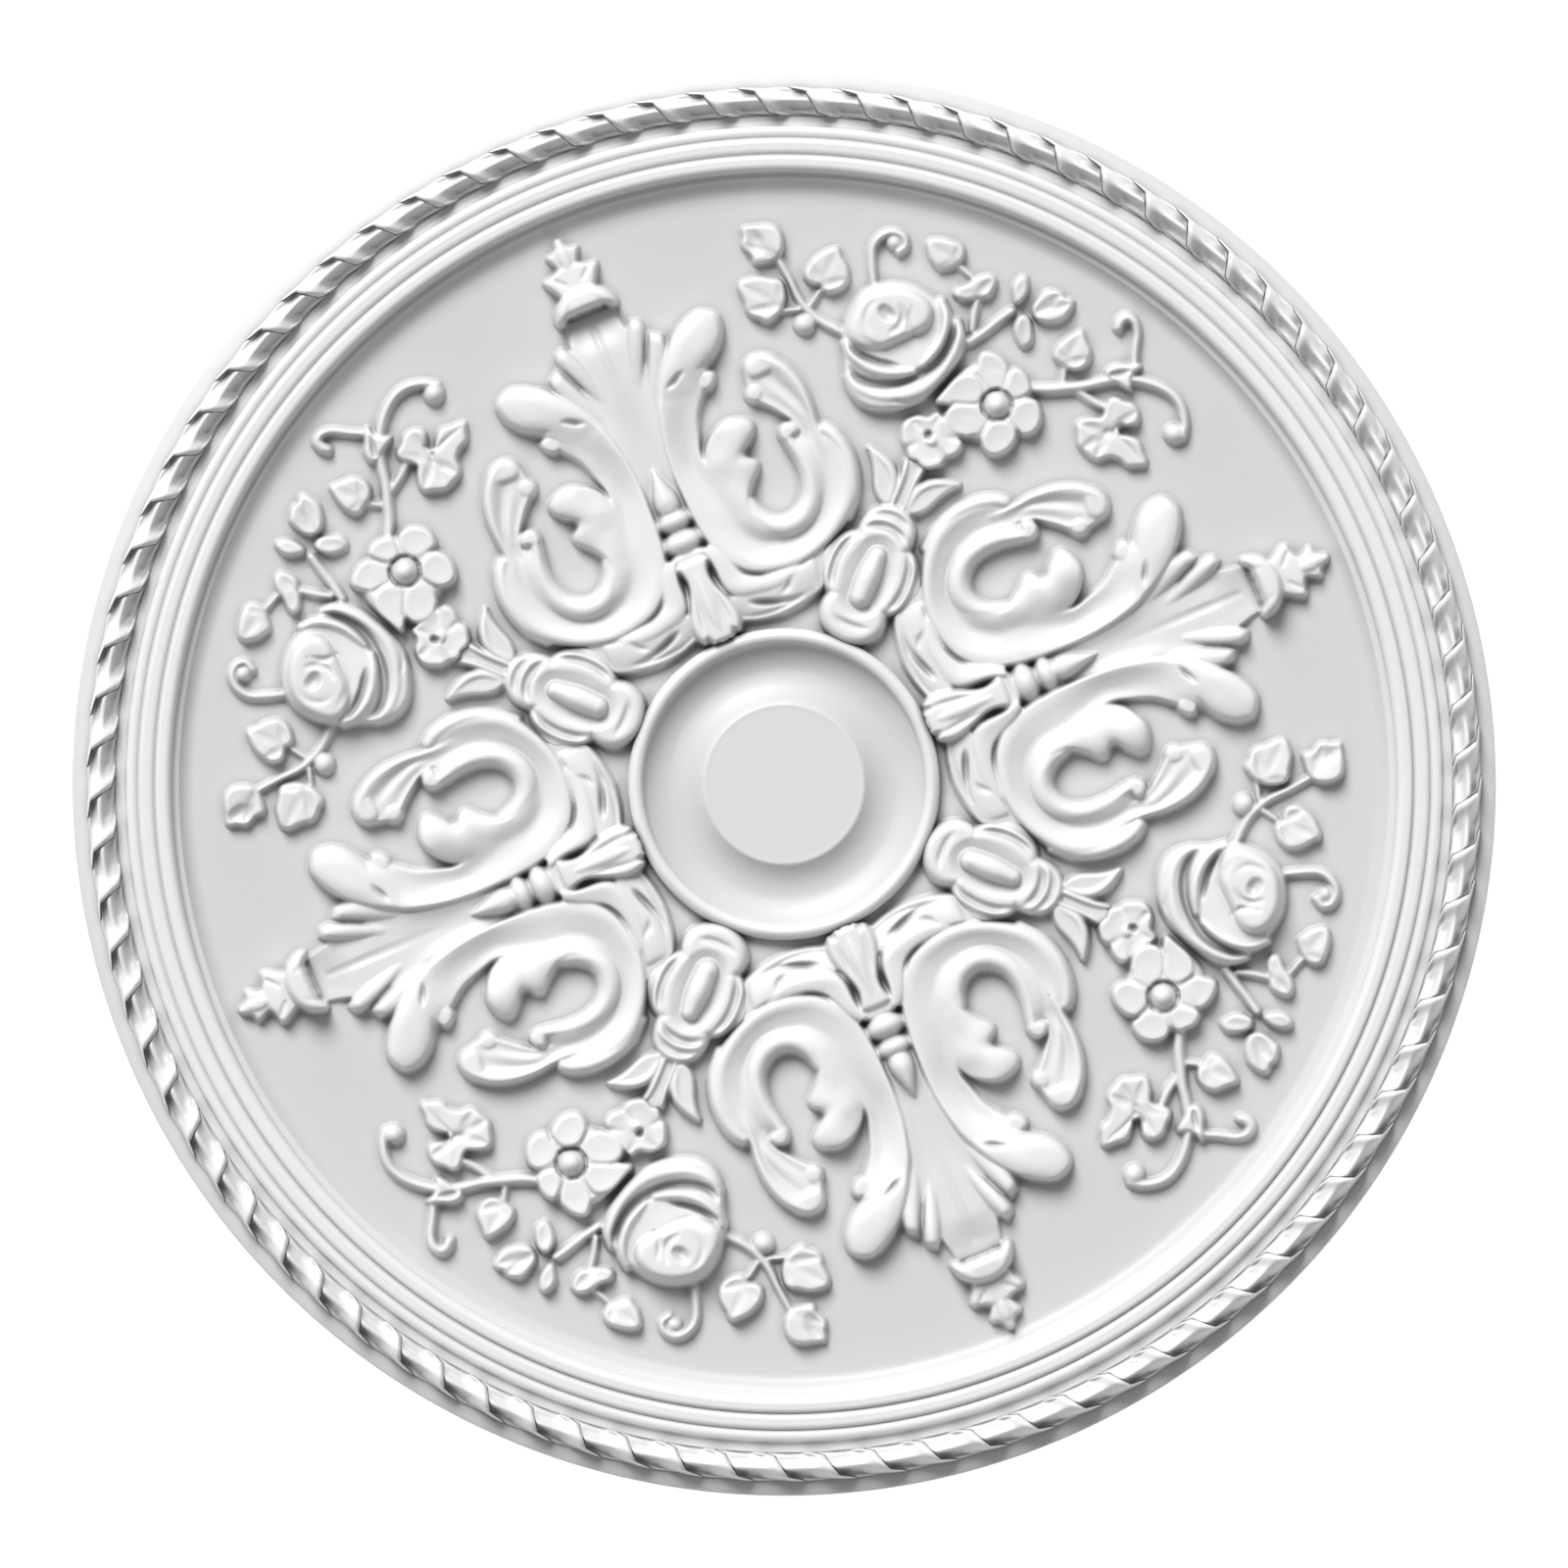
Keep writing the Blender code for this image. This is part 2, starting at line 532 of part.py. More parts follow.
def add_carved_field(mesh, edge, edge_radius):
    """The field with its carving, as fine rings that are thinned out afterwards; returns its inner ring."""
    raster = Raster(RASTER_STEP, SOFTENING)
    unit = edge_radius / CARVING_SPAN
    columns = even_bearings(CARVING_COLUMNS)
    growth = math.exp(2 * math.pi / CARVING_COLUMNS)
    foot = BEAD_RADIUS + BEAD_WIDTH * 0.45
    rows = max(round(math.log(edge_radius / foot) / math.log(growth)), 2)
    before = edge
    for row in range(1, rows):
        radius = edge_radius * (foot / edge_radius) ** (row / rows)
        lift = raster.at(np.full(len(columns), radius / unit), columns) * (1 + FOOT_SHARE) - FOOT_SHARE
        heights = np.round(FIELD_THICKNESS + np.clip(lift, 0, None) * CARVING_RELIEF, 6)
        ring = mesh.ring(columns, radius, heights, kept=False)
        mesh.join(before, ring)
        before = ring
    return before


def add_centre(mesh, before):
    """The bead, the dish and the raised disc in the middle."""
    sides = even_bearings(CENTRE_SIDES)
    profile = (
        (BEAD_RADIUS, BEAD_HEIGHT),
        (BEAD_RADIUS - BEAD_WIDTH * 0.3, BEAD_HEIGHT - 0.0012),
        (BEAD_RADIUS - BEAD_WIDTH * 0.5, BEAD_HEIGHT - 0.005),
        (DISH_RADIUS, DISH_HEIGHT),
        (DISH_RADIUS - (DISH_RADIUS - BOSS_RADIUS) * 0.55, DISH_HEIGHT + (BOSS_HEIGHT - DISH_HEIGHT) * 0.35),
        (BOSS_RADIUS + 0.002, BOSS_HEIGHT - 0.0015),
        (BOSS_RADIUS, BOSS_HEIGHT),
    )
    for radius, height in profile:
        ring = mesh.ring(sides, radius, height)
        mesh.join(before, ring)
        before = ring
    mesh.faces.append(tuple(before[0]))


def thin_out(rose, kept):
    """Thins the carved field alone, so that the turned and twisted rings stay as they are."""
    group = rose.vertex_groups.new(name="carved_field")
    carved = [index for index, keep in enumerate(kept) if not keep]
    group.add(carved, 1.0, "REPLACE")
    faces = len(rose.data.polygons)
    plain = sum(1 for face in rose.data.polygons if all(kept[v] for v in face.vertices))
    thinning = rose.modifiers.new("thin_carved_field", "DECIMATE")
    thinning.decimate_type = "COLLAPSE"
    thinning.use_collapse_triangulate = True
    thinning.vertex_group = group.name
    thinning.ratio = (plain + CARVED_TRIANGLES) / faces


def white_casting():
    """The matt white of the finished moulding."""
    material = bpy.data.materials.new("white_casting")
    material.use_nodes = True
    shader = material.node_tree.nodes["Principled BSDF"]
    shader.inputs["Base Color"].default_value = WHITE
    shader.inputs["Roughness"].default_value = ROUGHNESS
    shader.inputs["Metallic"].default_value = 0.0
    return material


def build_rose():
    """The whole casting as one closed mesh."""
    mesh = RingMesh()
    edge, edge_radius = add_rim(mesh)
    carved = add_carved_field(mesh, edge, edge_radius)
    add_centre(mesh, carved)
    data = bpy.data.meshes.new("ceiling_rose")
    data.from_pydata(mesh.points, [], mesh.faces)
    data.validate()
    data.materials.append(white_casting())
    rose = bpy.data.objects.new("ceiling_rose", data)
    bpy.context.scene.collection.objects.link(rose)
    thin_out(rose, mesh.kept)
    return rose


for old in list(bpy.data.objects):
    bpy.data.objects.remove(old, do_unlink=True)
build_rose()
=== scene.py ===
"""Ceiling rose: the finished look of the white casting, built round its CAD frame.

The casting lies on its back with the carved face up, in metres. Carving is drawn in millimetres above
the flat field, in the frame of one motif, and is repeated round the centre.
"""

import math

import bpy
import numpy as np
from bpy.props import FloatProperty, FloatVectorProperty, IntProperty, PointerProperty
from bpy.types import Operator, Panel, PropertyGroup
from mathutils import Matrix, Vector


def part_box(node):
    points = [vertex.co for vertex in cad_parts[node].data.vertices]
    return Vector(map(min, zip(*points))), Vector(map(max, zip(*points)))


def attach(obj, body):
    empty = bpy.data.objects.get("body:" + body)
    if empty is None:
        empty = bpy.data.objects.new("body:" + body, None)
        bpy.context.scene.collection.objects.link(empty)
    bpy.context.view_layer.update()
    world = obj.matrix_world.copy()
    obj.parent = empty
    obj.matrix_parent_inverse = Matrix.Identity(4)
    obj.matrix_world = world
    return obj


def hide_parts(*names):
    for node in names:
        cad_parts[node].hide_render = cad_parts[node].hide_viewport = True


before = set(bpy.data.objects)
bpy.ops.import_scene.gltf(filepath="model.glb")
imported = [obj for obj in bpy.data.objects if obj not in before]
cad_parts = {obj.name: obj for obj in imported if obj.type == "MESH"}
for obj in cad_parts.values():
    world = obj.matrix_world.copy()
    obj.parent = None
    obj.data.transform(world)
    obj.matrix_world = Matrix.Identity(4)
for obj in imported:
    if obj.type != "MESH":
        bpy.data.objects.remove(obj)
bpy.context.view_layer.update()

bl_info = {
    "name": "Ceiling rose",
    "version": (1, 0, 0),
    "blender": (4, 5, 0),
    "location": "3D View > Sidebar > Ceiling rose",
    "description": "Builds a carved white ceiling rose with a rope rim",
    "category": "Add Mesh",
}

NODE = "ceiling_rose"
BODY = "root"
CAD_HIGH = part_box(NODE)[1]
MM = 0.001
FINISH_NAME = "white_casting_finish"

# Bearings of the first finial and the first quatrefoil, in degrees from the photo's right
FINIAL_BEARING = 112.7
FOIL_BEARING = 67.7
MOTIFS_ROUND = 4

# Repeats whose edges lie this near each other, in metres, are joined
JOIN_DISTANCE = 0.000004

# Carving in millimetres: what its face gives up so that faint edges vanish, and how deep its underside is buried
FACE_TRIM = 0.12
BURIED = 1.2
# Spacing of the points laid on a leaf, as a share of the grid's
LEAF_SPACING = 0.45
THINNEST_LINE = 0.3

# The rope in metres: its outer foot in from the wall, that foot's height, the rise to its inner foot, its underside
ROPE_INSET = 0.0083
ROPE_FOOT = 0.0198
ROPE_FOOT_RISE = 0.0062
ROPE_ROOT = 0.0185

# The floor in metres, and where the key light comes from
FLOOR_HALF_SIZE = 6
FLOOR_DROP = 0.0005
KEY_FROM = (-0.32, 0.80, 0.84)
KEY_SPREAD = math.radians(30)


# Sizes and colours

class RimSettings(PropertyGroup):
    """Sizes of the turned rim and its rope."""

    outer_radius: FloatProperty(
        name="Outer radius", description="From the centre to the outer wall",
        default=CAD_HIGH.x, unit="LENGTH",
    )
    crest: FloatProperty(
        name="Rope crest", description="Height of the rope's crest above the back",
        default=CAD_HIGH.z - 0.0002, unit="LENGTH",
    )
    rope_twists: IntProperty(
        name="Rope twists", description="Strands counted once round the rim", default=85, min=12,
    )
    rope_width: FloatProperty(
        name="Rope width", description="Across the rope, from foot to foot", default=0.0172, unit="LENGTH",
    )
    rope_cleft: FloatProperty(
        name="Cleft depth", description="How far the clefts sink below the crest", default=0.0088, unit="LENGTH",
    )
    rope_start: FloatProperty(
        name="Rope start", description="Bearing of the first cleft",
        default=math.radians(-0.55), subtype="ANGLE",
    )
    turned_steps: IntProperty(
        name="Turned steps", description="Facets round the turned body", default=384, min=48,
    )


class CarvingSettings(PropertyGroup):
    """How finely the carving is worked."""

    field_height: FloatProperty(
        name="Field height", description="Height of the flat field above the back", default=0.017, unit="LENGTH",
    )
    grain: FloatProperty(
        name="Grain", description="Spacing of the carving's points", default=0.0006, unit="LENGTH",
    )
    softness: FloatProperty(
        name="Softness", description="How far the casting rounds its creases", default=0.0007, unit="LENGTH",
    )
    most_triangles: IntProperty(
        name="Most triangles", description="Limit for one repeat of a carved group", default=47000, min=1000,
    )


class FinishSettings(PropertyGroup):
    """The primed white surface, with the painted shade that darkens its field and hollows."""

    white: FloatVectorProperty(
        name="White", description="Colour of the primed casting on its raised parts", subtype="COLOR", size=4,
        min=0, max=1, default=(0.88, 0.88, 0.88, 1.0),
    )
    # Painted shade: the flat field is given a darker white than the raised parts, standing in for the shade that falls
    # on the low ground
    field_painted_shade: FloatVectorProperty(
        name="Field painted shade", description="Colour of the flat field, darkened as painted shade", subtype="COLOR",
        size=4, min=0, max=1, default=(0.69, 0.69, 0.692, 1.0),
    )
    # Painted shade: the colour that creases and hollows are darkened to in the base colour
    painted_hollow_shade: FloatVectorProperty(
        name="Painted hollow shade", description="Painted shade deep in the hollows, the colour that creases darken to",
        subtype="COLOR", size=4, min=0, max=1, default=(0.20, 0.20, 0.202, 1.0),
    )
    roughness: FloatProperty(
        name="Roughness", description="Roughness of the satin primer", default=0.42, min=0, max=1, subtype="FACTOR",
    )


class StageSettings(PropertyGroup):
    """Camera, lights and floor."""

    camera_distance: FloatProperty(
        name="Camera distance", description="Straight out from the back", default=9.0, unit="LENGTH",
    )
    view_width: FloatProperty(
        name="View width", description="Width of the picture at the field", default=0.9184, unit="LENGTH",
    )
    sun: FloatProperty(name="Key light", description="Strength of the soft light from above", default=3.3, min=0)
    sky: FloatProperty(name="Fill light", description="Strength of the even light all round", default=0.235, min=0)


# Shader sums

class Shade:
    """A socket in a material, on which sums can be written."""

    def __init__(self, bench, socket):
        self.bench = bench
        self.socket = socket

    def sum(self, operation, first, second):
        return self.bench.node("ShaderNodeMath", {"operation": operation}, {0: first, 1: second})

    def __add__(self, other):
        return self.sum("ADD", self, other)

    def __radd__(self, other):
        return self.sum("ADD", other, self)

    def __sub__(self, other):
        return self.sum("SUBTRACT", self, other)

    def __rsub__(self, other):
        return self.sum("SUBTRACT", other, self)

    def __mul__(self, other):
        return self.sum("MULTIPLY", self, other)

    def __rmul__(self, other):
        return self.sum("MULTIPLY", other, self)


class Bench:
    """Adds nodes to one material."""

    def __init__(self, material):
        material.use_nodes = True
        self.tree = material.node_tree
        self.shader = self.tree.nodes["Principled BSDF"]

    def node(self, kind, settings, sockets, output=0):
        """A node of a kind, with its settings made first and then its sockets; gives one output."""
        made = self.tree.nodes.new(kind)
        for name, value in settings.items():
            setattr(made, name, value)
        for name, value in sockets.items():
            self.feed(made.inputs[name], value)
        return Shade(self, made.outputs[output])

    def feed(self, socket, value):
        if isinstance(value, Shade):
            self.tree.links.new(value.socket, socket)
        else:
            socket.default_value = value

    def noise(self, place, scale, detail, roughness=0.5):
        """Soft random waves, about as many to the metre as the scale says."""
        sockets = {"Vector": place, "Scale": scale, "Detail": detail, "Roughness": roughness}
        return self.node("ShaderNodeTexNoise", {}, sockets)

    def ranged(self, value, low, high, at_low, at_high, **settings):
        """Carries one range of values over to another."""
        sockets = {"Value": value, "From Min": low, "From Max": high, "To Min": at_low, "To Max": at_high}
        return self.node("ShaderNodeMapRange", settings, sockets)

    def mixed(self, factor, first, second):
        """A colour between two others."""
        settings = {"data_type": "RGBA", "clamp_factor": True}
        return self.node("ShaderNodeMix", settings, {"Factor": factor, "A": first, "B": second}, 2)

    def finish(self, **sockets):
        """Feeds the material's own shader."""
        for name, value in sockets.items():
            self.feed(self.shader.inputs[name.replace("_", " ")], value)


def white_casting(finish):
    """Satin primer over moulded foam: even white with random tone, rougher deep in the hollows, and painted shade that
    darkens the hollows and the low field.
    """
    material = bpy.data.materials.new(FINISH_NAME)
    bench = Bench(material)
    place = bench.node("ShaderNodeTexCoord", {}, {}, "Object")
    drift = bench.noise(place, 9.0, 3.0, 0.55)
    spray = bench.noise(place, 620.0, 2.0, 0.6)
    wave = bench.noise(place, 95.0, 2.0)
    # Painted shade: ambient occlusion finds the creases and hollows, which are darkened in the base colour and also
    # made rougher
    open_sky = bench.node("ShaderNodeAmbientOcclusion", {"samples": 8}, {"Distance": 0.008}, "AO")
    hollow = bench.ranged(open_sky, 0.25, 0.92, 1.0, 0.0, clamp=True)
    cloud = bench.ranged(drift, 0.3, 0.7, 0.0, 0.10)
    # Painted light by height: the colour lightens from the darker field colour just under the field to the full white
    # at the height of the reeds, standing in for the shade on the low field
    height = bench.node("ShaderNodeSeparateXYZ", {}, {"Vector": place}, "Z")
    raised = bench.ranged(height, 0.0165, 0.029, 0.0, 1.0, interpolation_type="SMOOTHSTEP")
    coat_with_painted_height_shade = bench.mixed(raised - cloud, tuple(finish.field_painted_shade), tuple(finish.white))
    # Painted shade: the base colour darkens towards the painted hollow shade in the creases
    tone = bench.mixed(hollow * 0.95, coat_with_painted_height_shade, tuple(finish.painted_hollow_shade))
    relief = wave * 0.75 + spray * 0.25
    skin = bench.node("ShaderNodeBump", {}, {"Strength": 0.16, "Distance": 0.0005, "Height": relief})
    bench.finish(
        Base_Color=tone, Roughness=hollow * 0.18 + (drift * 0.10 + (finish.roughness - 0.05)), Normal=skin,
    )
    return material


def pale_floor():
    """The plain pale floor."""
    material = bpy.data.materials.new("pale_floor")
    bench = Bench(material)
    place = bench.node("ShaderNodeTexCoord", {}, {}, "Object")
    drift = bench.noise(place, 3.0, 2.0)
    tone = bench.mixed(drift * 0.5, (0.40, 0.40, 0.40, 1.0), (0.38, 0.38, 0.38, 1.0))
    bench.finish(
        Base_Color=tone, Roughness=0.9, Specular_IOR_Level=0.1,
        Emission_Color=(1.0, 1.0, 1.0, 1.0), Emission_Strength=0.9,
    )
    return material


# Relief on a grid

def smooth_rows(rows, steps=6):
    """Rows of numbers on a smooth curve through the given ones."""
    rows = np.array(rows, float)
    held = np.concatenate([2 * rows[:1] - rows[1:2], rows, 2 * rows[-1:] - rows[-2:-1]])
    t = (np.arange(steps) / steps).reshape((-1,) + (1,) * (rows.ndim - 1))
    line = []
    for before, start, end, after in zip(held, held[1:], held[2:], held[3:]):
        line.append(
            0.5 * (2 * start + (end - before) * t + (2 * before - 5 * start + 4 * end - after) * t**2
                   + (3 * start - before - 3 * end + after) * t**3)
        )
    return np.concatenate(line + [rows[-1:]])


def rounded(share):
    """A quarter-round shoulder: nothing at 0, full height from 1 on."""
    return np.sqrt(1 - (1 - np.clip(share, 0, 1)) ** 2)


def closed_curve(corners, steps=4):
    """A smooth closed outline through the given corners."""
    corners = [tuple(c) for c in corners]
    wrapped = corners[-2:] + corners + corners[:3]
    line = smooth_rows(wrapped, steps)
    return [tuple(p) for p in line[2 * steps: (2 + len(corners)) * steps]]


def softened(grid, spread):
    """A Gaussian blur, so that shapes run into each other as a casting's do."""
    reach = max(int(math.ceil(3 * spread)), 1)
    taps = np.arange(-reach, reach + 1)
    weights = np.exp(-0.5 * (taps / spread) ** 2)
    weights /= weights.sum()
    for axis in (0, 1):
        grid = sum(w * np.roll(grid, t, axis) for t, w in zip(taps, weights))
    return grid


class Relief:
    """Heights above the field on a square grid, in millimetres, raised one motif at a time."""

    def __init__(self, low, high, step):
        self.step = step
        self.xs = low[0] + step * np.arange(int(round((high[0] - low[0]) / step)) + 1)
        self.ys = low[1] + step * np.arange(int(round((high[1] - low[1]) / step)) + 1)
        self.z = np.zeros((len(self.ys), len(self.xs)))

    def window(self, low, high):
        """The part of the grid in a box: its slices and its coordinates."""
        i = slice(*np.searchsorted(self.ys, (low[1], high[1])))
        j = slice(*np.searchsorted(self.xs, (low[0], high[0])))
        x, y = np.meshgrid(self.xs[j], self.ys[i])
        return (i, j), x, y

    def lay(self, where, z, over=False):
        """Keeps the higher of old and new, or covers the old wherever the new one stands."""
        if over:
            self.z[where] = np.where(z > 0, z, self.z[where])
        else:
            self.z[where] = np.maximum(self.z[where], z)

    def nearest(self, x, y, line):
        """The share of the half width from the middle out, the half width and the height at each point."""
        share, width, height = np.full(x.shape, np.inf), np.ones(x.shape), np.zeros(x.shape)
        for start, end in zip(line, line[1:]):
            run = end[:2] - start[:2]
            place = ((x - start[0]) * run[0] + (y - start[1]) * run[1]) / max(run @ run, 1e-9)
            place = np.clip(place, 0, 1)
            half = start[2] + place * (end[2] - start[2])
            away = np.hypot(x - start[0] - place * run[0], y - start[1] - place * run[1]) / half
            closer = away < share
            share = np.where(closer, away, share)
            width = np.where(closer, half, width)
            height = np.where(closer, start[3] + place * (end[3] - start[3]), height)
        return share, width, height

    def along(self, rows):
        """A smooth line of x, y, half width and height, and the window that it reaches."""
        line = smooth_rows(rows, 5)
        line[:, 2] = np.maximum(line[:, 2], THINNEST_LINE)
        reach = line[:, 2].max()
        where, x, y = self.window(line[:, :2].min(axis=0) - reach, line[:, :2].max(axis=0) + reach)
        return line, where, x, y

    def band(self, rows, edge=4.0):
        """A raised band along a line, with a shoulder of the edge width."""
        line, where, x, y = self.along(rows)
        if x.size:
            share, width, height = self.nearest(x, y, line)
            z = height * rounded((1 - share) * width / np.minimum(edge, width))
            self.lay(where, np.where(share < 1, z, 0))

    def grooves(self, *cuts):
        """Soft grooves, each cut along a line to a depth."""
        for rows, depth in cuts:
            line, where, x, y = self.along(rows)
            if x.size:
                share, _, strength = self.nearest(x, y, line)
                cut = depth * strength * np.clip(1 - share**2, 0, 1)
                self.z[where] = np.maximum(self.z[where] - cut, 0)

    def inside(self, x, y, corners):
        """Distance in from a closed outline, negative outside it."""
        away, inside = np.full(x.shape, np.inf), np.zeros(x.shape, bool)
        for (ax, ay), (bx, by) in zip(corners, corners[1:] + corners[:1]):
            run_x, run_y = bx - ax, by - ay
            place = np.clip(((x - ax) * run_x + (y - ay) * run_y) / max(run_x**2 + run_y**2, 1e-9), 0, 1)
            away = np.minimum(away, np.hypot(x - ax - place * run_x, y - ay - place * run_y))
            crosses = (ay > y) != (by > y)
            with np.errstate(divide="ignore", invalid="ignore"):
                left = x < ax + (y - ay) * run_x / run_y
            inside ^= crosses & left
        return np.where(inside, away, -away)

    def inset(self, mask, edge, gain):
        """A mask that climbs over the edge width, from nothing at its outline to 1."""
        return np.clip(gain * softened(mask, edge / 2 / self.step) - gain / 2, 0, 1)

    def plate(self, corners, height, edge=4.0, hollow=0.0, rim=6.0, tilt=(0, 0), over=False):
        """A raised leaf with the given outline, a soft edge and perhaps a hollow middle."""
        corners = closed_curve(corners)
        middle = np.mean(corners, axis=0)
        margin = edge + rim + 2
        where, x, y = self.window(np.min(corners, axis=0) - margin, np.max(corners, axis=0) + margin)
        if x.size:
            mask = np.clip(self.inside(x, y, corners) / self.step + 0.5, 0, 1)
            body = self.inset(mask, edge, 2.3)
            dish = self.inset(mask, edge + rim, 2.2)
            full = height + tilt[0] * (x - middle[0]) + tilt[1] * (y - middle[1])
            self.lay(where, np.where(mask > 0.3, full * rounded(body) - hollow * dish, 0), over)

    def mound(self, middle, half_sizes, height, edge=None, over=False):
        """A lump on an elliptical foot: a dome, or flat on top where it has an edge."""
        reach = max(half_sizes)
        where, x, y = self.window(np.array(middle) - reach, np.array(middle) + reach)
        if x.size:
            share = np.hypot((x - middle[0]) / half_sizes[0], (y - middle[1]) / half_sizes[1])
            shoulder = (1 - share) * min(half_sizes) / edge if edge else 1 - share
            self.lay(where, np.where(share < 1, height * rounded(shoulder), 0), over)

    def sheet(self, cuts, edges=(3.0, 3.0), tips=(0.0, 0.0)):
        """A leaf laid over a run of cuts, each two ends and the heights evenly spaced between them.

        Its sides are rounded off over the edge widths and its first and last cuts over the tip lengths.
        """
        cuts = np.array(cuts, float)
        ends, heights = cuts[:, :4], cuts[:, 4:]
        gaps = np.maximum(*(np.hypot(*np.diff(ends[:, k:k + 2], axis=0).T) for k in (0, 2)))
        width = np.hypot(ends[:, 2] - ends[:, 0], ends[:, 3] - ends[:, 1]).max()
        steps = max(int(gaps.max() / (self.step * LEAF_SPACING)), 2)
        ends = smooth_rows(ends, steps)
        heights = smooth_rows(heights, steps)
        across = max(int(width / (self.step * LEAF_SPACING) / (heights.shape[1] - 1)), 2)
        heights = smooth_rows(heights.T, across)
        share = np.linspace(0, 1, len(heights))[:, None]
        x = ends[:, 0] + share * (ends[:, 2] - ends[:, 0])
        y = ends[:, 1] + share * (ends[:, 3] - ends[:, 1])
        widths = np.hypot(ends[:, 2] - ends[:, 0], ends[:, 3] - ends[:, 1])
        middle = (ends[:, :2] + ends[:, 2:]) / 2
        run = np.concatenate([[0], np.cumsum(np.hypot(*np.diff(middle, axis=0).T))])
        heights = heights * rounded(share * widths / edges[0]) * rounded((1 - share) * widths / edges[1])
        if tips[0]:
            heights = heights * rounded(run / tips[0])
        if tips[1]:
            heights = heights * rounded((run[-1] - run) / tips[1])
        column = np.rint((x - self.xs[0]) / self.step).astype(int).ravel()
        row = np.rint((y - self.ys[0]) / self.step).astype(int).ravel()
        kept = (column >= 0) & (column < len(self.xs)) & (row >= 0) & (row < len(self.ys))
        place = row[kept] * len(self.xs) + column[kept]
        total = np.bincount(place, heights.ravel()[kept], self.z.size)
        count = np.bincount(place, minlength=self.z.size)
        z = np.where(count > 0, total / np.maximum(count, 1), 0).reshape(self.z.shape)
        self.lay((slice(None), slice(None)), np.maximum(z, 0))

    def mirrored(self):
        """The grid with its left half made from its right half."""
        half = self.z[:, np.searchsorted(self.xs, -self.step / 2):]
        whole = Relief((-self.xs[-1], self.ys[0]), (self.xs[-1], self.ys[-1]), self.step)
        whole.z = np.concatenate([half[:, :0:-1], half], axis=1)
        return whole


def both_sides(right):
    """A closed outline from its right half, from one point on the axis or beside it round to the other."""
    return right + [(-x, y) for x, y in reversed(right) if x]


# Motifs about a finial: x to its right, y away from the centre, right half only

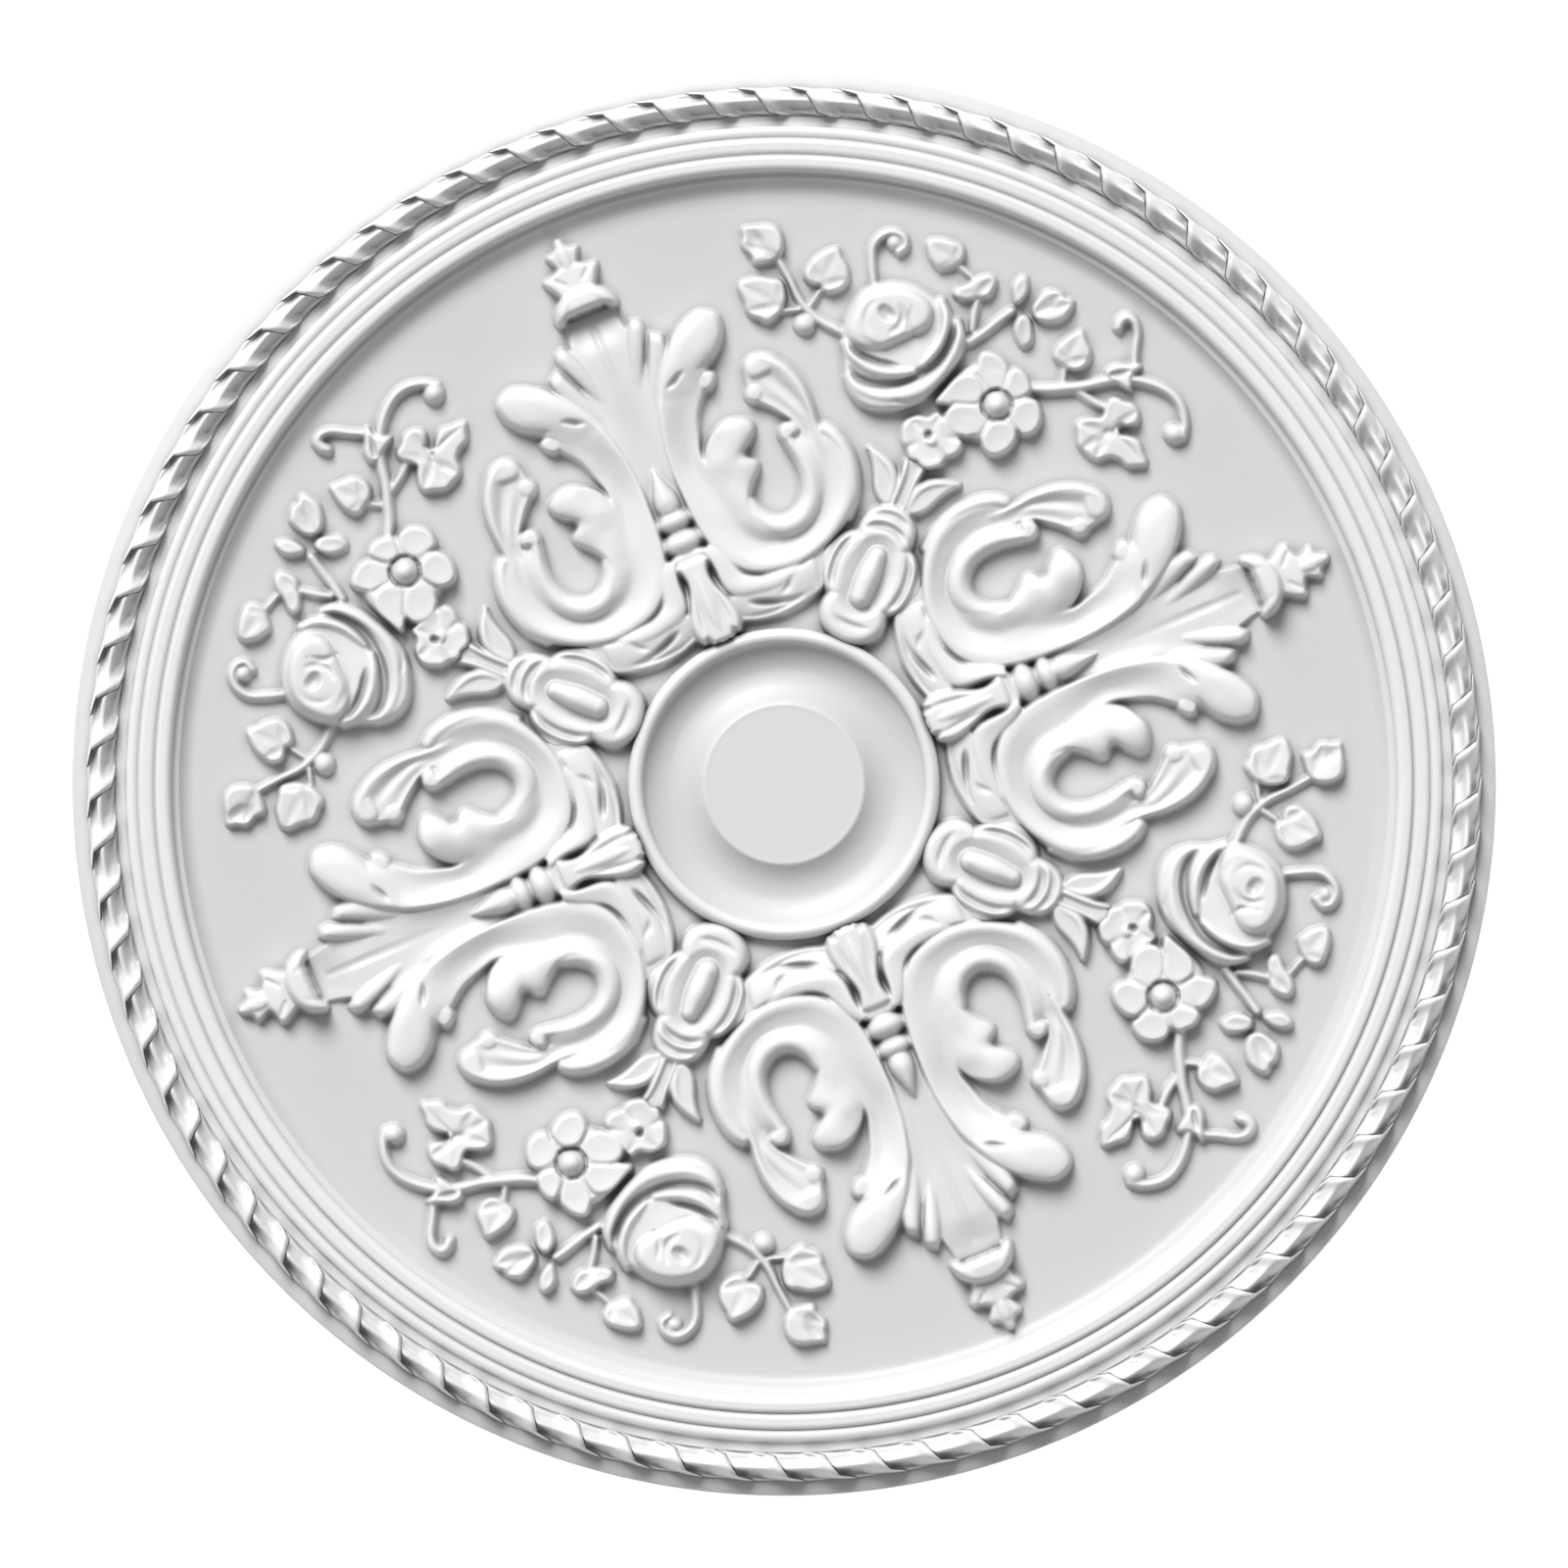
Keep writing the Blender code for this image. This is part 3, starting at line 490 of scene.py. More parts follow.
def carve_scroll(relief):
    """Half of the acanthus pair: a crescent, a body curled round a pocket, and its leaves."""
    relief.sheet([
        (23, 248, 53, 247, 13, 14, 14, 14, 13, 11), (19.5, 240, 50, 239, 13, 13, 12.5, 12.5, 12, 10),
        (15, 229, 47, 230, 13, 11.5, 10, 9.5, 9.5, 9), (12, 217, 38.5, 219, 13, 10.5, 8, 7, 7.5, 8.5),
        (10, 205, 33.5, 206, 12.5, 9.5, 7, 5.5, 6, 8), (9, 192, 31, 193, 12, 9.5, 7, 5.5, 6.5, 9),
        (8.7, 178, 38, 178, 11.5, 10, 8, 7, 9, 12), (9.5, 162, 46, 162, 11, 10.5, 9, 8.5, 11.5, 13),
        (12, 146, 46.5, 154, 11, 11, 9.5, 8.5, 12, 13.5), (18, 132, 50, 148, 11, 11.5, 9.5, 8, 12, 13.5),
        (28.5, 121, 54.5, 144.5, 11, 11.5, 9, 7.5, 12, 13.5), (43, 115.5, 59, 143.5, 11, 11.5, 8.5, 7.2, 12, 13.5),
        (60, 114, 64, 143, 11, 11.5, 8.2, 7, 12, 13.5), (77, 118, 69, 145, 11, 12, 8.5, 7, 12, 13.5),
        (91, 125.5, 74, 149, 11, 12.5, 9, 7, 12, 13.5), (102.5, 135.5, 78, 155.5, 11, 13, 9.5, 7.5, 12, 13.5),
        (109, 149, 80.5, 163, 11, 13, 10, 8, 12, 13.5), (111, 164, 81, 172, 10, 12.5, 10, 8.5, 12, 13.5),
        (108.5, 176, 79.5, 180, 8, 11, 9.5, 8.5, 11.5, 13), (103, 187, 77, 192, 6, 8, 8.5, 8.5, 10, 12),
    ], edges=(3.2, 3.4), tips=(20, 15))
    relief.band([
        (95, 130, 4, 9), (103, 142, 5, 12), (107, 155, 5.5, 13.5), (107.5, 167, 5.5, 13.5), (105, 177, 5.5, 13),
        (102, 182, 5, 12),
    ], edge=5.5)
    relief.sheet([
        (104, 156, 84, 160, 6, 7.5, 7.5, 7, 7.5, 8), (103.5, 166, 84, 168, 8, 9.5, 9, 8, 8.5, 9),
        (101, 177, 84, 176, 9.5, 11, 9, 8, 8.5, 9.5), (100.5, 188, 87, 184, 11, 11.5, 8.5, 7.5, 8, 9.5),
        (101.7, 200, 85.5, 193, 12.5, 12.5, 8.5, 9.5, 8, 10.5), (101.2, 212, 78, 204, 13, 12.5, 8, 9.5, 8, 10.5),
        (98, 223, 71, 212, 13.5, 12.5, 8.5, 9.5, 8.5, 10.5), (92.5, 231.5, 68.5, 219.5, 13.5, 13, 9.5, 9.5, 9, 10),
        (84, 238, 70, 228, 13, 13, 11.5, 11, 10.5, 10), (77, 239.3, 72.5, 235, 12, 12, 11.5, 11.5, 11, 11),
    ], edges=(4, 2.4), tips=(0, 5))
    relief.plate([
        (69.5, 228), (71.5, 236), (77, 239.8), (84, 239.2), (91, 235), (95, 228), (90, 224), (82, 224), (75, 222),
    ], 12.8, edge=7.5)
    relief.plate([(65, 215), (66.5, 221), (71.5, 225), (78, 222), (78, 213), (72, 209.5)], 10.5, edge=6)
    relief.sheet([
        (14, 220, 41, 221, 8, 7, 6, 6, 6), (16.2, 229, 46, 230, 12, 10.2, 9.4, 9.4, 8.5),
        (19, 238, 49.5, 237.8, 13.2, 12.8, 12.6, 12, 9.8), (23.5, 247, 57, 244, 13.5, 15, 15, 13.5, 10),
        (29, 255.5, 64.5, 250, 13, 16, 16, 15, 11), (36, 263.5, 69.3, 256.5, 13, 16, 16, 15, 12),
        (44.5, 269.8, 71, 262.5, 12.5, 15, 15.5, 14.5, 12), (52, 273.8, 71, 267, 12, 14, 14.5, 13.5, 12),
        (58, 275.4, 69.2, 270.5, 12, 13, 13.5, 12.5, 12), (62, 275.3, 66.6, 273, 12, 12, 12, 12, 12),
    ], edges=(3.8, 4.6), tips=(9, 4))
    relief.grooves(
        ([(26, 239, 1.4, 0.1), (30.5, 241, 1.9, 1), (35, 243.5, 1.9, 0.8), (39, 245, 1.4, 0.1)], 3.4),
        ([(58, 246, 1.6, 0.4), (53, 243.5, 1.8, 1), (47, 242.5, 1.6, 0.2)], 2.8),
    )
    relief.plate([(44, 240), (50, 241.5), (55, 240), (56, 235.5), (53, 231), (47, 228), (42, 233)], 10.5, edge=4.5)
    relief.sheet([
        (33, 152, 46.5, 150.5, 8, 9.5, 11, 12.5, 12.5), (30, 160, 46, 157, 7.5, 9.5, 11.5, 13, 12.5),
        (29, 167, 48, 163.5, 7, 9.5, 12, 13, 12), (28.5, 172, 53, 170, 7, 10, 12.5, 12.5, 9.5),
        (28.3, 176, 58.5, 175.5, 7, 10.5, 13, 12.5, 8.5), (28.3, 179.5, 59, 180.5, 7, 11, 13.5, 13, 8.5),
        (28.5, 183, 54.5, 185, 7, 11, 13.5, 13.5, 10), (29, 187, 54.5, 188.5, 7, 11.5, 14, 14, 10.5),
        (29.5, 190, 60, 192.5, 7, 12, 14.5, 14, 9.5), (30.5, 194, 65, 198, 7, 12, 15, 14, 9),
        (32, 197.5, 64.8, 203.5, 7, 12, 15, 14, 9), (34.5, 200.5, 59.5, 207.5, 8, 12, 14.5, 14, 10),
        (37.5, 203, 52, 209.5, 9, 12, 13.5, 13, 11), (40.5, 205, 45, 208.2, 10, 11.5, 12, 12, 11),
    ], edges=(0.5, 3.5), tips=(0, 2.5))
    relief.band([
        (45, 160, 3.6, 11.5), (46.5, 149.5, 6, 13), (52.5, 141.3, 7.2, 13.6), (62, 138, 7.6, 13.6),
        (72, 140.6, 7.6, 13.6), (80, 148.6, 7, 13.6), (83.6, 160, 6.4, 13.6), (83.3, 172, 5.8, 13.5),
        (80.6, 182, 4.6, 13.3), (79.6, 189, 4, 13.2),
    ], edge=7.6)
    relief.plate([
        (75.5, 184), (75.5, 191), (79, 195.2), (84.5, 195), (88.5, 190), (88, 184.5), (83, 185.5), (81, 182),
    ], 13.5, edge=4.4)


def carve_fan(relief):
    """The fan of acanthus between the crescents."""
    relief.sheet([
        (-9, 170, 9, 170, 7, 5.5, 5.5, 7), (-10, 192, 10, 192, 7, 5, 5, 7), (-12, 212, 12, 212, 8, 5, 5, 8),
        (-16, 230, 16, 230, 8, 5.5, 5.5, 8), (-20, 247, 20, 247, 7, 6.5, 6.5, 7),
        (-21, 262, 21, 262, 6.5, 7, 7, 6.5), (-20, 274, 20, 274, 6.5, 7, 7, 6.5),
        (-18, 283, 18, 283, 6, 4.6, 4.6, 6), (-16, 290, 16, 290, 4, 2.2, 2.2, 4),
        (-15, 297, 15, 297, 2.5, 1, 1, 2.5),
    ], edges=(1.5, 1.5))
    relief.sheet([
        (11, 226, 17, 223, 4, 5, 5, 4), (14, 240, 23, 236, 6.5, 8, 8, 6.5),
        (19.5, 257.5, 31.5, 250, 6, 11, 11.5, 9), (24.5, 269, 36, 261.5, 7, 13, 13, 10),
        (28.5, 275.5, 36, 270.5, 9, 12.5, 12.5, 10),
    ], edges=(2.6, 3.4), tips=(0, 6))
    relief.sheet([
        (6, 238, 11, 236, 4, 5, 5, 4), (9, 254, 17, 250.5, 6, 7.8, 7.8, 7),
        (13, 270.5, 24.5, 266, 6.5, 11.5, 12, 9), (17.5, 280.5, 28, 276.5, 7.5, 13, 13, 10),
        (21.5, 286, 27.5, 283.5, 8, 11.5, 11.5, 9),
    ], edges=(2.6, 3.2), tips=(0, 6))
    relief.grooves(([(0, 288, 2.6, 0.8), (0, 266, 3, 1), (0, 240, 3, 0.5), (0, 215, 2, 0.1)], 1.2))


def carve_finial(relief):
    """The bud and bell cap on the axis, and the binding below the fan."""
    relief.plate(both_sides([
        (0, 315), (9.5, 313), (16.5, 307.5), (20.3, 299), (20, 292), (17, 292), (13.5, 297.5), (10.5, 299.8),
        (7.5, 298), (4, 300), (0, 298.3),
    ]), 19.5, edge=7, tilt=(0, -0.1), over=True)
    relief.grooves(([(10.5, 299.5, 2, 1), (9.5, 303, 2, 0.6), (8, 307, 1.4, 0.1)], 1.2))
    relief.plate(both_sides([
        (0, 328), (4, 331), (8, 327.5), (13.5, 325.5), (18.5, 327.5), (17.5, 321), (13, 315), (10, 309),
    ]), 10.5, edge=5.5)
    relief.plate(both_sides([(2.5, 345.5), (3.5, 340.5), (6.5, 338), (12, 338.5), (8, 331), (5, 325)]), 9, edge=4)
    relief.plate(both_sides([(0, 343), (3, 340), (5.4, 333), (3.4, 326), (0, 322)]), 11, edge=5)
    relief.grooves(([(5.5, 318, 1.6, 0.7), (11, 323, 1.6, 1)], 1.6))
    relief.band([
        (0, 198, 0.8, 8), (0, 190, 4, 13), (0, 181, 7.8, 15.5), (0, 177, 8.6, 15.5), (0, 175.5, 8.4, 15),
    ], edge=8)
    relief.mound((0, 166.3), (11.5, 7.6), 15.5)
    relief.mound((0, 153), (13, 8.8), 16.5)
    relief.plate(both_sides([(11.5, 138), (11.5, 142), (10, 147)]), 12, edge=3)


def carve_bellflower(relief):
    """The flower that hangs from the binding, with its ribbons and the small leaves beside it."""
    relief.plate([
        (10, 118), (24, 114), (40, 114), (54, 117), (68, 119), (77, 122), (75, 108), (69, 98), (60, 94), (50, 92),
        (40, 92), (28, 92.5), (18, 95), (10, 99),
    ], 8, edge=4)
    relief.sheet([
        (10, 114, 10, 99, 11, 10.5, 9, 7.5, 6.5), (20, 113, 20, 94, 11, 10.5, 9.5, 8, 6.5),
        (30, 112, 30, 91.5, 10.8, 10.5, 9.5, 8, 6.5), (40, 112, 40, 90.5, 10.8, 10.5, 9.5, 8, 6.5),
        (50, 113, 50, 91.5, 10.8, 10.8, 10, 8.5, 6.5), (60, 115, 60, 94, 10.5, 10.8, 10, 8.5, 6.5),
        (70, 117, 68, 98.5, 9, 9.5, 9, 8, 6.5),
    ], edges=(2, 3), tips=(0, 5))
    relief.sheet([
        (6, 143, 13.5, 146, 12, 14, 13.5, 12), (8.5, 136, 17.5, 140, 12, 14.2, 13.5, 12),
        (8.8, 127, 21.5, 131.5, 11.5, 13.8, 13, 11.5), (10, 117, 26, 123.5, 11.5, 13.5, 12.5, 11),
        (16, 110.5, 33, 118.8, 10.5, 12.8, 12.5, 11), (27, 107.5, 41, 117, 10, 12.3, 12, 10.5),
        (38, 106, 49, 116.5, 10, 11.8, 11.5, 10), (48, 107, 56, 116.5, 9.5, 11.2, 11, 9.5),
        (57, 108.5, 63, 115, 9, 9.5, 9.5, 9),
    ], edges=(3, 1.6), tips=(0, 6))
    relief.grooves(
        ([
            (22, 105.5, 1.6, 0.1), (28, 103.3, 2.2, 1), (35, 100.6, 2.2, 1), (44, 98, 1.8, 0.5), (52, 98, 1.4, 0.1),
        ], 4.6),
        ([(42, 103, 1.4, 0.1), (47, 105.5, 2.2, 0.8), (51, 110, 1.6, 0.2)], 2.6),
        ([
            (14, 100, 1.4, 0.3), (24, 96.5, 1.7, 0.8), (36, 95.2, 1.7, 0.8), (48, 96.5, 1.7, 0.6),
            (58, 99, 1.2, 0.1),
        ], 2.2),
    )
    relief.plate(both_sides([
        (0, 87.5), (3.4, 91), (6.5, 88.5), (10.8, 90.5), (14.5, 96), (15.5, 104), (13.4, 113), (10, 122), (8, 130),
        (11, 137), (12.8, 142),
    ]), 15.5, edge=6)
    relief.band([(0, 138, 5, 14.5), (0, 128, 6, 16.6), (0, 112, 7.5, 17.5), (0, 98, 6, 16), (0, 93, 4, 14)], edge=7)
    relief.grooves(
        ([(8.6, 137, 1.8, 0.4), (9, 131, 2.6, 1), (9.4, 124, 2.4, 0.7), (12.5, 114, 1.8, 0.2)], 3.6),
        ([(5.5, 122, 1.2, 0.2), (6.6, 112, 1.8, 1), (7.8, 102, 1.8, 0.8), (8, 96, 1.4, 0.2)], 1.6),
        ([(7.6, 96, 1.6, 0.2), (8.4, 92, 2.6, 1), (8.8, 88.5, 2.8, 1)], 7),
    )


# Motifs about a quatrefoil: x to its right, y away from the centre

def carve_quatrefoil(relief):
    """Four ringed lobes about an oval stone, right half only."""
    for middle, half_sizes in (
        ((0, 157), (17.5, 19.5)), ((0, 107), (21, 18.5)), ((10, 133), (22, 22.5)), ((0, 132), (18, 28)),
    ):
        relief.mound(middle, half_sizes, 12.5, edge=6)
    for ring in (
        [(-13, 163.5, 1.8, 0.2), (-7, 167.4, 2.8, 1), (0, 168.8, 3, 1), (7, 167.4, 2.8, 1), (13, 163.5, 1.8, 0.2)],
        [(-13, 156.5, 1.8, 0.2), (-7, 160.3, 2.8, 1), (0, 161.6, 3, 1), (7, 160.3, 2.8, 1), (13, 156.5, 1.8, 0.2)],
        [(-11, 102.5, 1.6, 0.1), (-5, 100.6, 2.4, 0.6), (5, 100.6, 2.4, 0.6), (11, 102.5, 1.6, 0.1)],
        [(21, 153.5, 1.8, 0.2), (26, 144, 2.6, 1), (27.6, 133, 2.8, 1), (26.2, 121, 2.6, 1), (21.5, 113.5, 1.8, 0.2)],
        [(15.5, 152.5, 1.8, 0.2), (20, 143.5, 2.6, 1), (21.6, 133, 2.8, 1), (20.2, 122.5, 2.6, 1),
         (17, 115.5, 1.8, 0.2)],
    ):
        relief.grooves((ring, 3.2))
    relief.grooves(([(0, 144, 12.5, 0.9), (0, 132, 15.5, 1), (0, 119, 14, 1)], 5))
    relief.band([(0, 144, 6.8, 16.5), (0, 132, 8.4, 18.5), (0, 118, 8.2, 17.5)], edge=8)


def carve_sprigs(relief):
    """Three small leaves above a quatrefoil, right half only."""
    side = [
        (3, 176), (4, 187), (8, 193.5), (13, 197.5), (19, 200), (27.5, 202), (30.5, 200.5), (25.5, 195), (21.5, 188.5),
        (18.5, 181.5), (15, 176.5), (8, 172),
    ]
    relief.plate(side, 8.5, edge=4, hollow=0.6, rim=3.5)
    relief.band([
        (6, 177, 3.4, 8.5), (7.5, 187, 4, 9.5), (12.5, 193.8, 4, 9.8), (20, 197.8, 3.4, 9.3), (28, 200.4, 2, 8),
    ], edge=4)
    relief.band([(0, 173, 4, 6.5), (0, 190, 4.6, 6.5), (0, 202, 5.2, 7)], edge=3)
    relief.band([(3.4, 174, 2.2, 9), (3.6, 189, 2.6, 9.5), (4.6, 199, 2.6, 9), (5.4, 203, 1.8, 7)], edge=2.6)


def carve_leaf(relief, corners, height, base=None, tips=(), tilt=(0, 0)):
    """A leaf with the given outline, a dished face and a soft fold from its base to each tip."""
    relief.plate(corners, height, edge=4.6, hollow=0.8, rim=4.0, tilt=tilt)
    for index, (x, y) in enumerate(tips):
        middle = ((base[0] + x) / 2, (base[1] + y) / 2)
        relief.grooves(([(*base, 2.6, 0.4), (*middle, 3.4, 1), (x, y, 1.8, 0.6)], 1.6 if index else 0.8))


def carve_spray_stems(relief):
    """The branches and tendrils of a spray."""
    stems = (
        [(-66, 257, 3.2, 6), (-84, 258.5, 3, 6), (-98, 264.5, 2.8, 6), (-109, 274, 2.6, 6), (-120, 283, 2.4, 6)],
        [(-97, 260, 2.2, 5), (-107, 255, 2.2, 5)],
        [(-92, 264, 2.2, 5), (-90, 275, 2.2, 5)],
        [(-61, 288, 2.8, 6), (-67, 299, 3, 7), (-71, 309, 3, 7), (-69.5, 317, 3, 8), (-64, 322.5, 3, 8),
         (-57, 322.5, 2.8, 8), (-53.5, 318, 2.6, 8), (-56, 313, 2.6, 8)],
        [(-20, 319, 2.2, 5), (-10, 315.5, 2.2, 5)],
        [(-3, 306, 2.8, 6), (-1.5, 297, 2.8, 6), (1, 287, 2.8, 6)],
        [(2, 280, 3.2, 7), (8, 289, 3.2, 7), (13, 298, 3.2, 7), (18, 306, 3.2, 8)],
        [(59, 288, 2.6, 5), (62, 278, 2.6, 5)],
        [(44, 268, 3.8, 8), (55, 272, 3.8, 8), (65, 277, 3.8, 8), (75, 282.5, 3.6, 8), (84, 289, 3.6, 8),
         (93, 294, 3.6, 8), (103, 297, 3.4, 8), (115, 298, 3.2, 8), (125, 296, 3.2, 8), (132, 291, 3.2, 8),
         (137, 283, 3.2, 8), (138.5, 276, 3.2, 8)],
        [(97, 303, 2.8, 7), (93.5, 313, 2.8, 7), (91, 322, 3, 7), (87, 327.5, 3.2, 8), (82, 328.5, 3.8, 8),
         (79.5, 325, 4, 8), (79.5, 321, 3.5, 8)],
        [(72, 277.5, 3, 6), (82, 275.5, 3.2, 6), (92, 275, 3, 7)],
    )
    for stem in stems:
        relief.band(stem)
    relief.mound((133.5, 276), (7, 6.5), 10)
    relief.mound((-60.5, 317), (5.5, 5), 8)
    relief.mound((-91, 253), (7, 6.5), 9)


def carve_spray_leaves(relief):
    """The leaves and buds of a spray, by their outlines."""
    carve_leaf(relief, [
        (-149, 292.5), (-142, 294.5), (-137, 298), (-129, 300.5), (-123.5, 298), (-119.5, 292), (-118.5, 285),
        (-122, 279.5), (-127, 275.5), (-132, 271.5), (-133.5, 277), (-137.5, 279), (-143, 280), (-143.5, 286),
        (-146, 289.5),
    ], 10, (-121, 284), ((-146, 292.5), (-132, 273), (-141, 282)), tilt=(0.06, 0.05))
    relief.grooves(([(-140, 290, 5, 0.8), (-136, 286, 6, 1), (-132, 281, 4, 0.3)], 3))
    carve_leaf(relief, [
        (-137, 260.5), (-133, 265), (-127, 269.5), (-119, 270.5), (-113.5, 273), (-109.5, 269), (-106, 263),
        (-105.5, 256), (-107.5, 249.5), (-111.5, 243.5), (-116, 245.5), (-121, 244.5), (-126, 246.5), (-128, 251),
        (-133, 255),
    ], 10, (-106.5, 258), ((-134, 260), (-124, 248), (-114, 270.5)), tilt=(0.03, 0.04))
    carve_leaf(relief, [
        (-89.5, 304), (-94, 300.5), (-99, 295), (-102, 288.5), (-103, 282), (-100.5, 276.5), (-95, 275.5),
        (-91, 277.5), (-88, 273.5), (-83, 275.5), (-78, 280), (-76, 286.5), (-78.5, 292.5), (-82, 296.5),
        (-86, 298.5),
    ], 10.5, (-90.5, 277), ((-89.5, 301), (-100.5, 286), (-79, 286)), tilt=(-0.03, 0.04))
    carve_leaf(relief, [
        (-44.5, 325), (-40, 329), (-34, 331), (-28, 331.5), (-23, 331.5), (-19.5, 328), (-19, 322), (-22.5, 316.5),
        (-27, 313), (-31.5, 310), (-33, 313.5), (-38, 315), (-40.5, 319),
    ], 10, (-22, 320), ((-42, 325), (-31, 313), (-25, 329.5)), tilt=(0.0, 0.07))
    carve_leaf(relief, [
        (-18.5, 302.5), (-16.5, 307.5), (-12, 311), (-9, 316.5), (-5, 320.5), (0, 322), (4, 320.5), (4.5, 315),
        (4, 309), (1, 306), (-3, 305.5), (-6, 302), (-11, 300.5), (-15, 300),
    ], 10, (-4, 307), ((-16, 304), (1, 319)), tilt=(-0.05, 0.07))
    carve_leaf(relief, [
        (19, 330), (15, 328), (12.5, 323), (12.5, 318.5), (15.5, 314), (17.5, 309), (20.5, 309), (22.5, 314),
        (23.5, 320), (21.5, 325.5),
    ], 10, (19, 311), ((18.5, 327),))
    carve_leaf(relief, [
        (28.5, 310), (28, 316), (30, 322), (31.5, 327), (36, 327), (41, 329), (44, 325), (48, 327), (51.5, 325.5),
        (50.5, 319), (49.5, 313.5), (44.5, 309), (39, 306.5), (33, 306),
    ], 10, (31.5, 310), ((33, 325), (41.5, 326), (49, 323.5)), tilt=(-0.05, 0.06))
    carve_leaf(relief, [
        (22, 305.5), (25, 307.5), (29.5, 307.5), (33, 303), (35.5, 298), (37.5, 294), (35, 290.5), (32.5, 286.5),
        (28, 290), (24.5, 293.5), (22, 298),
    ], 8.5, (27, 306), ((31.5, 289),), tilt=(-0.10, 0.08))
    carve_leaf(relief, [
        (60.5, 314.5), (57, 309.5), (53, 304.5), (50, 298), (49.5, 292), (52, 288.5), (57, 288), (61, 286.5),
        (67, 287.5), (71, 292), (72, 298), (70.5, 303), (66, 306.5), (63, 310),
    ], 11, (59, 289), ((60.3, 311), (51, 295), (69.5, 297)), tilt=(-0.04, 0.04))
    carve_leaf(relief, [
        (81, 292), (82.5, 298), (86, 301.5), (92, 303), (96, 305.5), (102.5, 307.5), (101.5, 303), (98, 298.5),
        (100, 293), (104, 288.5), (98, 288), (90, 290),
    ], 10.5)
    relief.grooves(([(87, 294, 2, 1), (91.5, 297, 2, 1), (95, 299.5, 1.6, 0.5)], 3))
    carve_leaf(relief, [
        (90, 275), (89.5, 281), (94, 284), (98.5, 282.5), (103, 284), (108, 282), (112, 277), (112, 271.5),
        (107.5, 269.5), (102.5, 266.5), (104.5, 263.5), (108, 265), (114, 265.5), (118.5, 263.5), (120.5, 259.5),
        (125.5, 255.5), (127, 251), (121, 250), (115, 246), (110.5, 249), (103, 248.5), (100, 244.5), (95, 243),
        (88.5, 245.5), (83, 247.5), (80.5, 254), (76.5, 260), (80, 264), (85.5, 267.5), (90.5, 269),
    ], 10, (97, 262), ((93, 280), (107, 278), (80, 260), (87, 248), (96, 246)), tilt=(-0.03, 0.05))
    relief.grooves(
        ([(100, 263, 1.6, 1), (109, 260, 1.6, 1), (121, 254, 1.2, 0.4)], 1.8),
        ([(103, 268.5, 2, 1), (100, 264.5, 1.6, 0.8), (100, 260, 1.4, 0.3)], 2.4),
    )


def carve_flowers(relief):
    """A six-petalled flower and a smaller ragged one."""
    petals = (
        [(10, 277), (14, 279.5), (20, 279.8), (26, 278), (30.5, 274), (31, 265), (24, 259), (16, 261), (11.5, 266)],
        [(30, 275), (34, 277), (39.5, 276), (44, 272), (47.5, 266.5), (43, 259.5), (35, 258), (30.5, 265)],
        [(46, 263), (51.5, 264), (57, 259), (59.5, 251), (57, 244), (51, 240), (46, 243.5), (39, 250), (41, 258)],
        [(48, 243), (49.5, 235), (46, 227), (39, 222.5), (32.5, 225), (29, 231), (30, 240), (37, 246)],
        [(28.5, 233), (22, 227), (14, 226), (7.5, 230), (4, 236), (8, 244), (20, 248), (28, 242)],
        [(-4, 239), (-2, 247), (1, 256), (5, 261.5), (13, 264), (21, 258), (22, 249), (12, 243), (4, 240)],
    )
    relief.mound((27, 252), (26, 24), 11.6, edge=6)
    for index, petal in enumerate(petals):
        relief.plate(petal, 12.5 + 1.2 * (index % 2), edge=3.8, hollow=1.0, rim=4, tilt=(-0.05, 0.05))
    for x, y in ((13, 264), (30.5, 275), (47, 265), (48.5, 241.5), (29, 232), (7, 243)):
        relief.grooves(([(x, y, 1.8, 1), ((x + 31) / 2, (y + 252) / 2, 1.6, 0.4)], 1.4))
    relief.mound((31, 252), (9.4, 9.4), 11, edge=3, over=True)
    relief.mound((31, 252), (8.2, 8.2), 16)
    ragged = [
        (-14.5, 215), (-16.5, 221), (-13.5, 226), (-9, 230), (-3, 230.5), (0, 237), (5, 234), (10, 232), (14, 228.5),
        (19, 227), (22.5, 222.5), (21.5, 217), (18.5, 213.5), (15.5, 211.5), (15.5, 206.5), (11, 203), (5, 200),
        (0, 203.5), (-4.5, 201.5), (-7.5, 207), (-12.5, 210),
    ]
    relief.plate(ragged, 12, edge=4.2, hollow=1.8, rim=4)
    for x, y in ((-10, 224.5), (-8.5, 208.5), (14.5, 212), (2, 232), (19, 226)):
        relief.grooves(([(x, y, 2.4, 1), ((x + 1.5) / 2, (y + 220) / 2, 2, 0.2)], 1.8))
    relief.mound((3.5, 218), (6, 5), 12.5, edge=4)
    relief.grooves(([(0.5, 221, 2.6, 1), (1, 219.5, 2.4, 1)], 4.5))


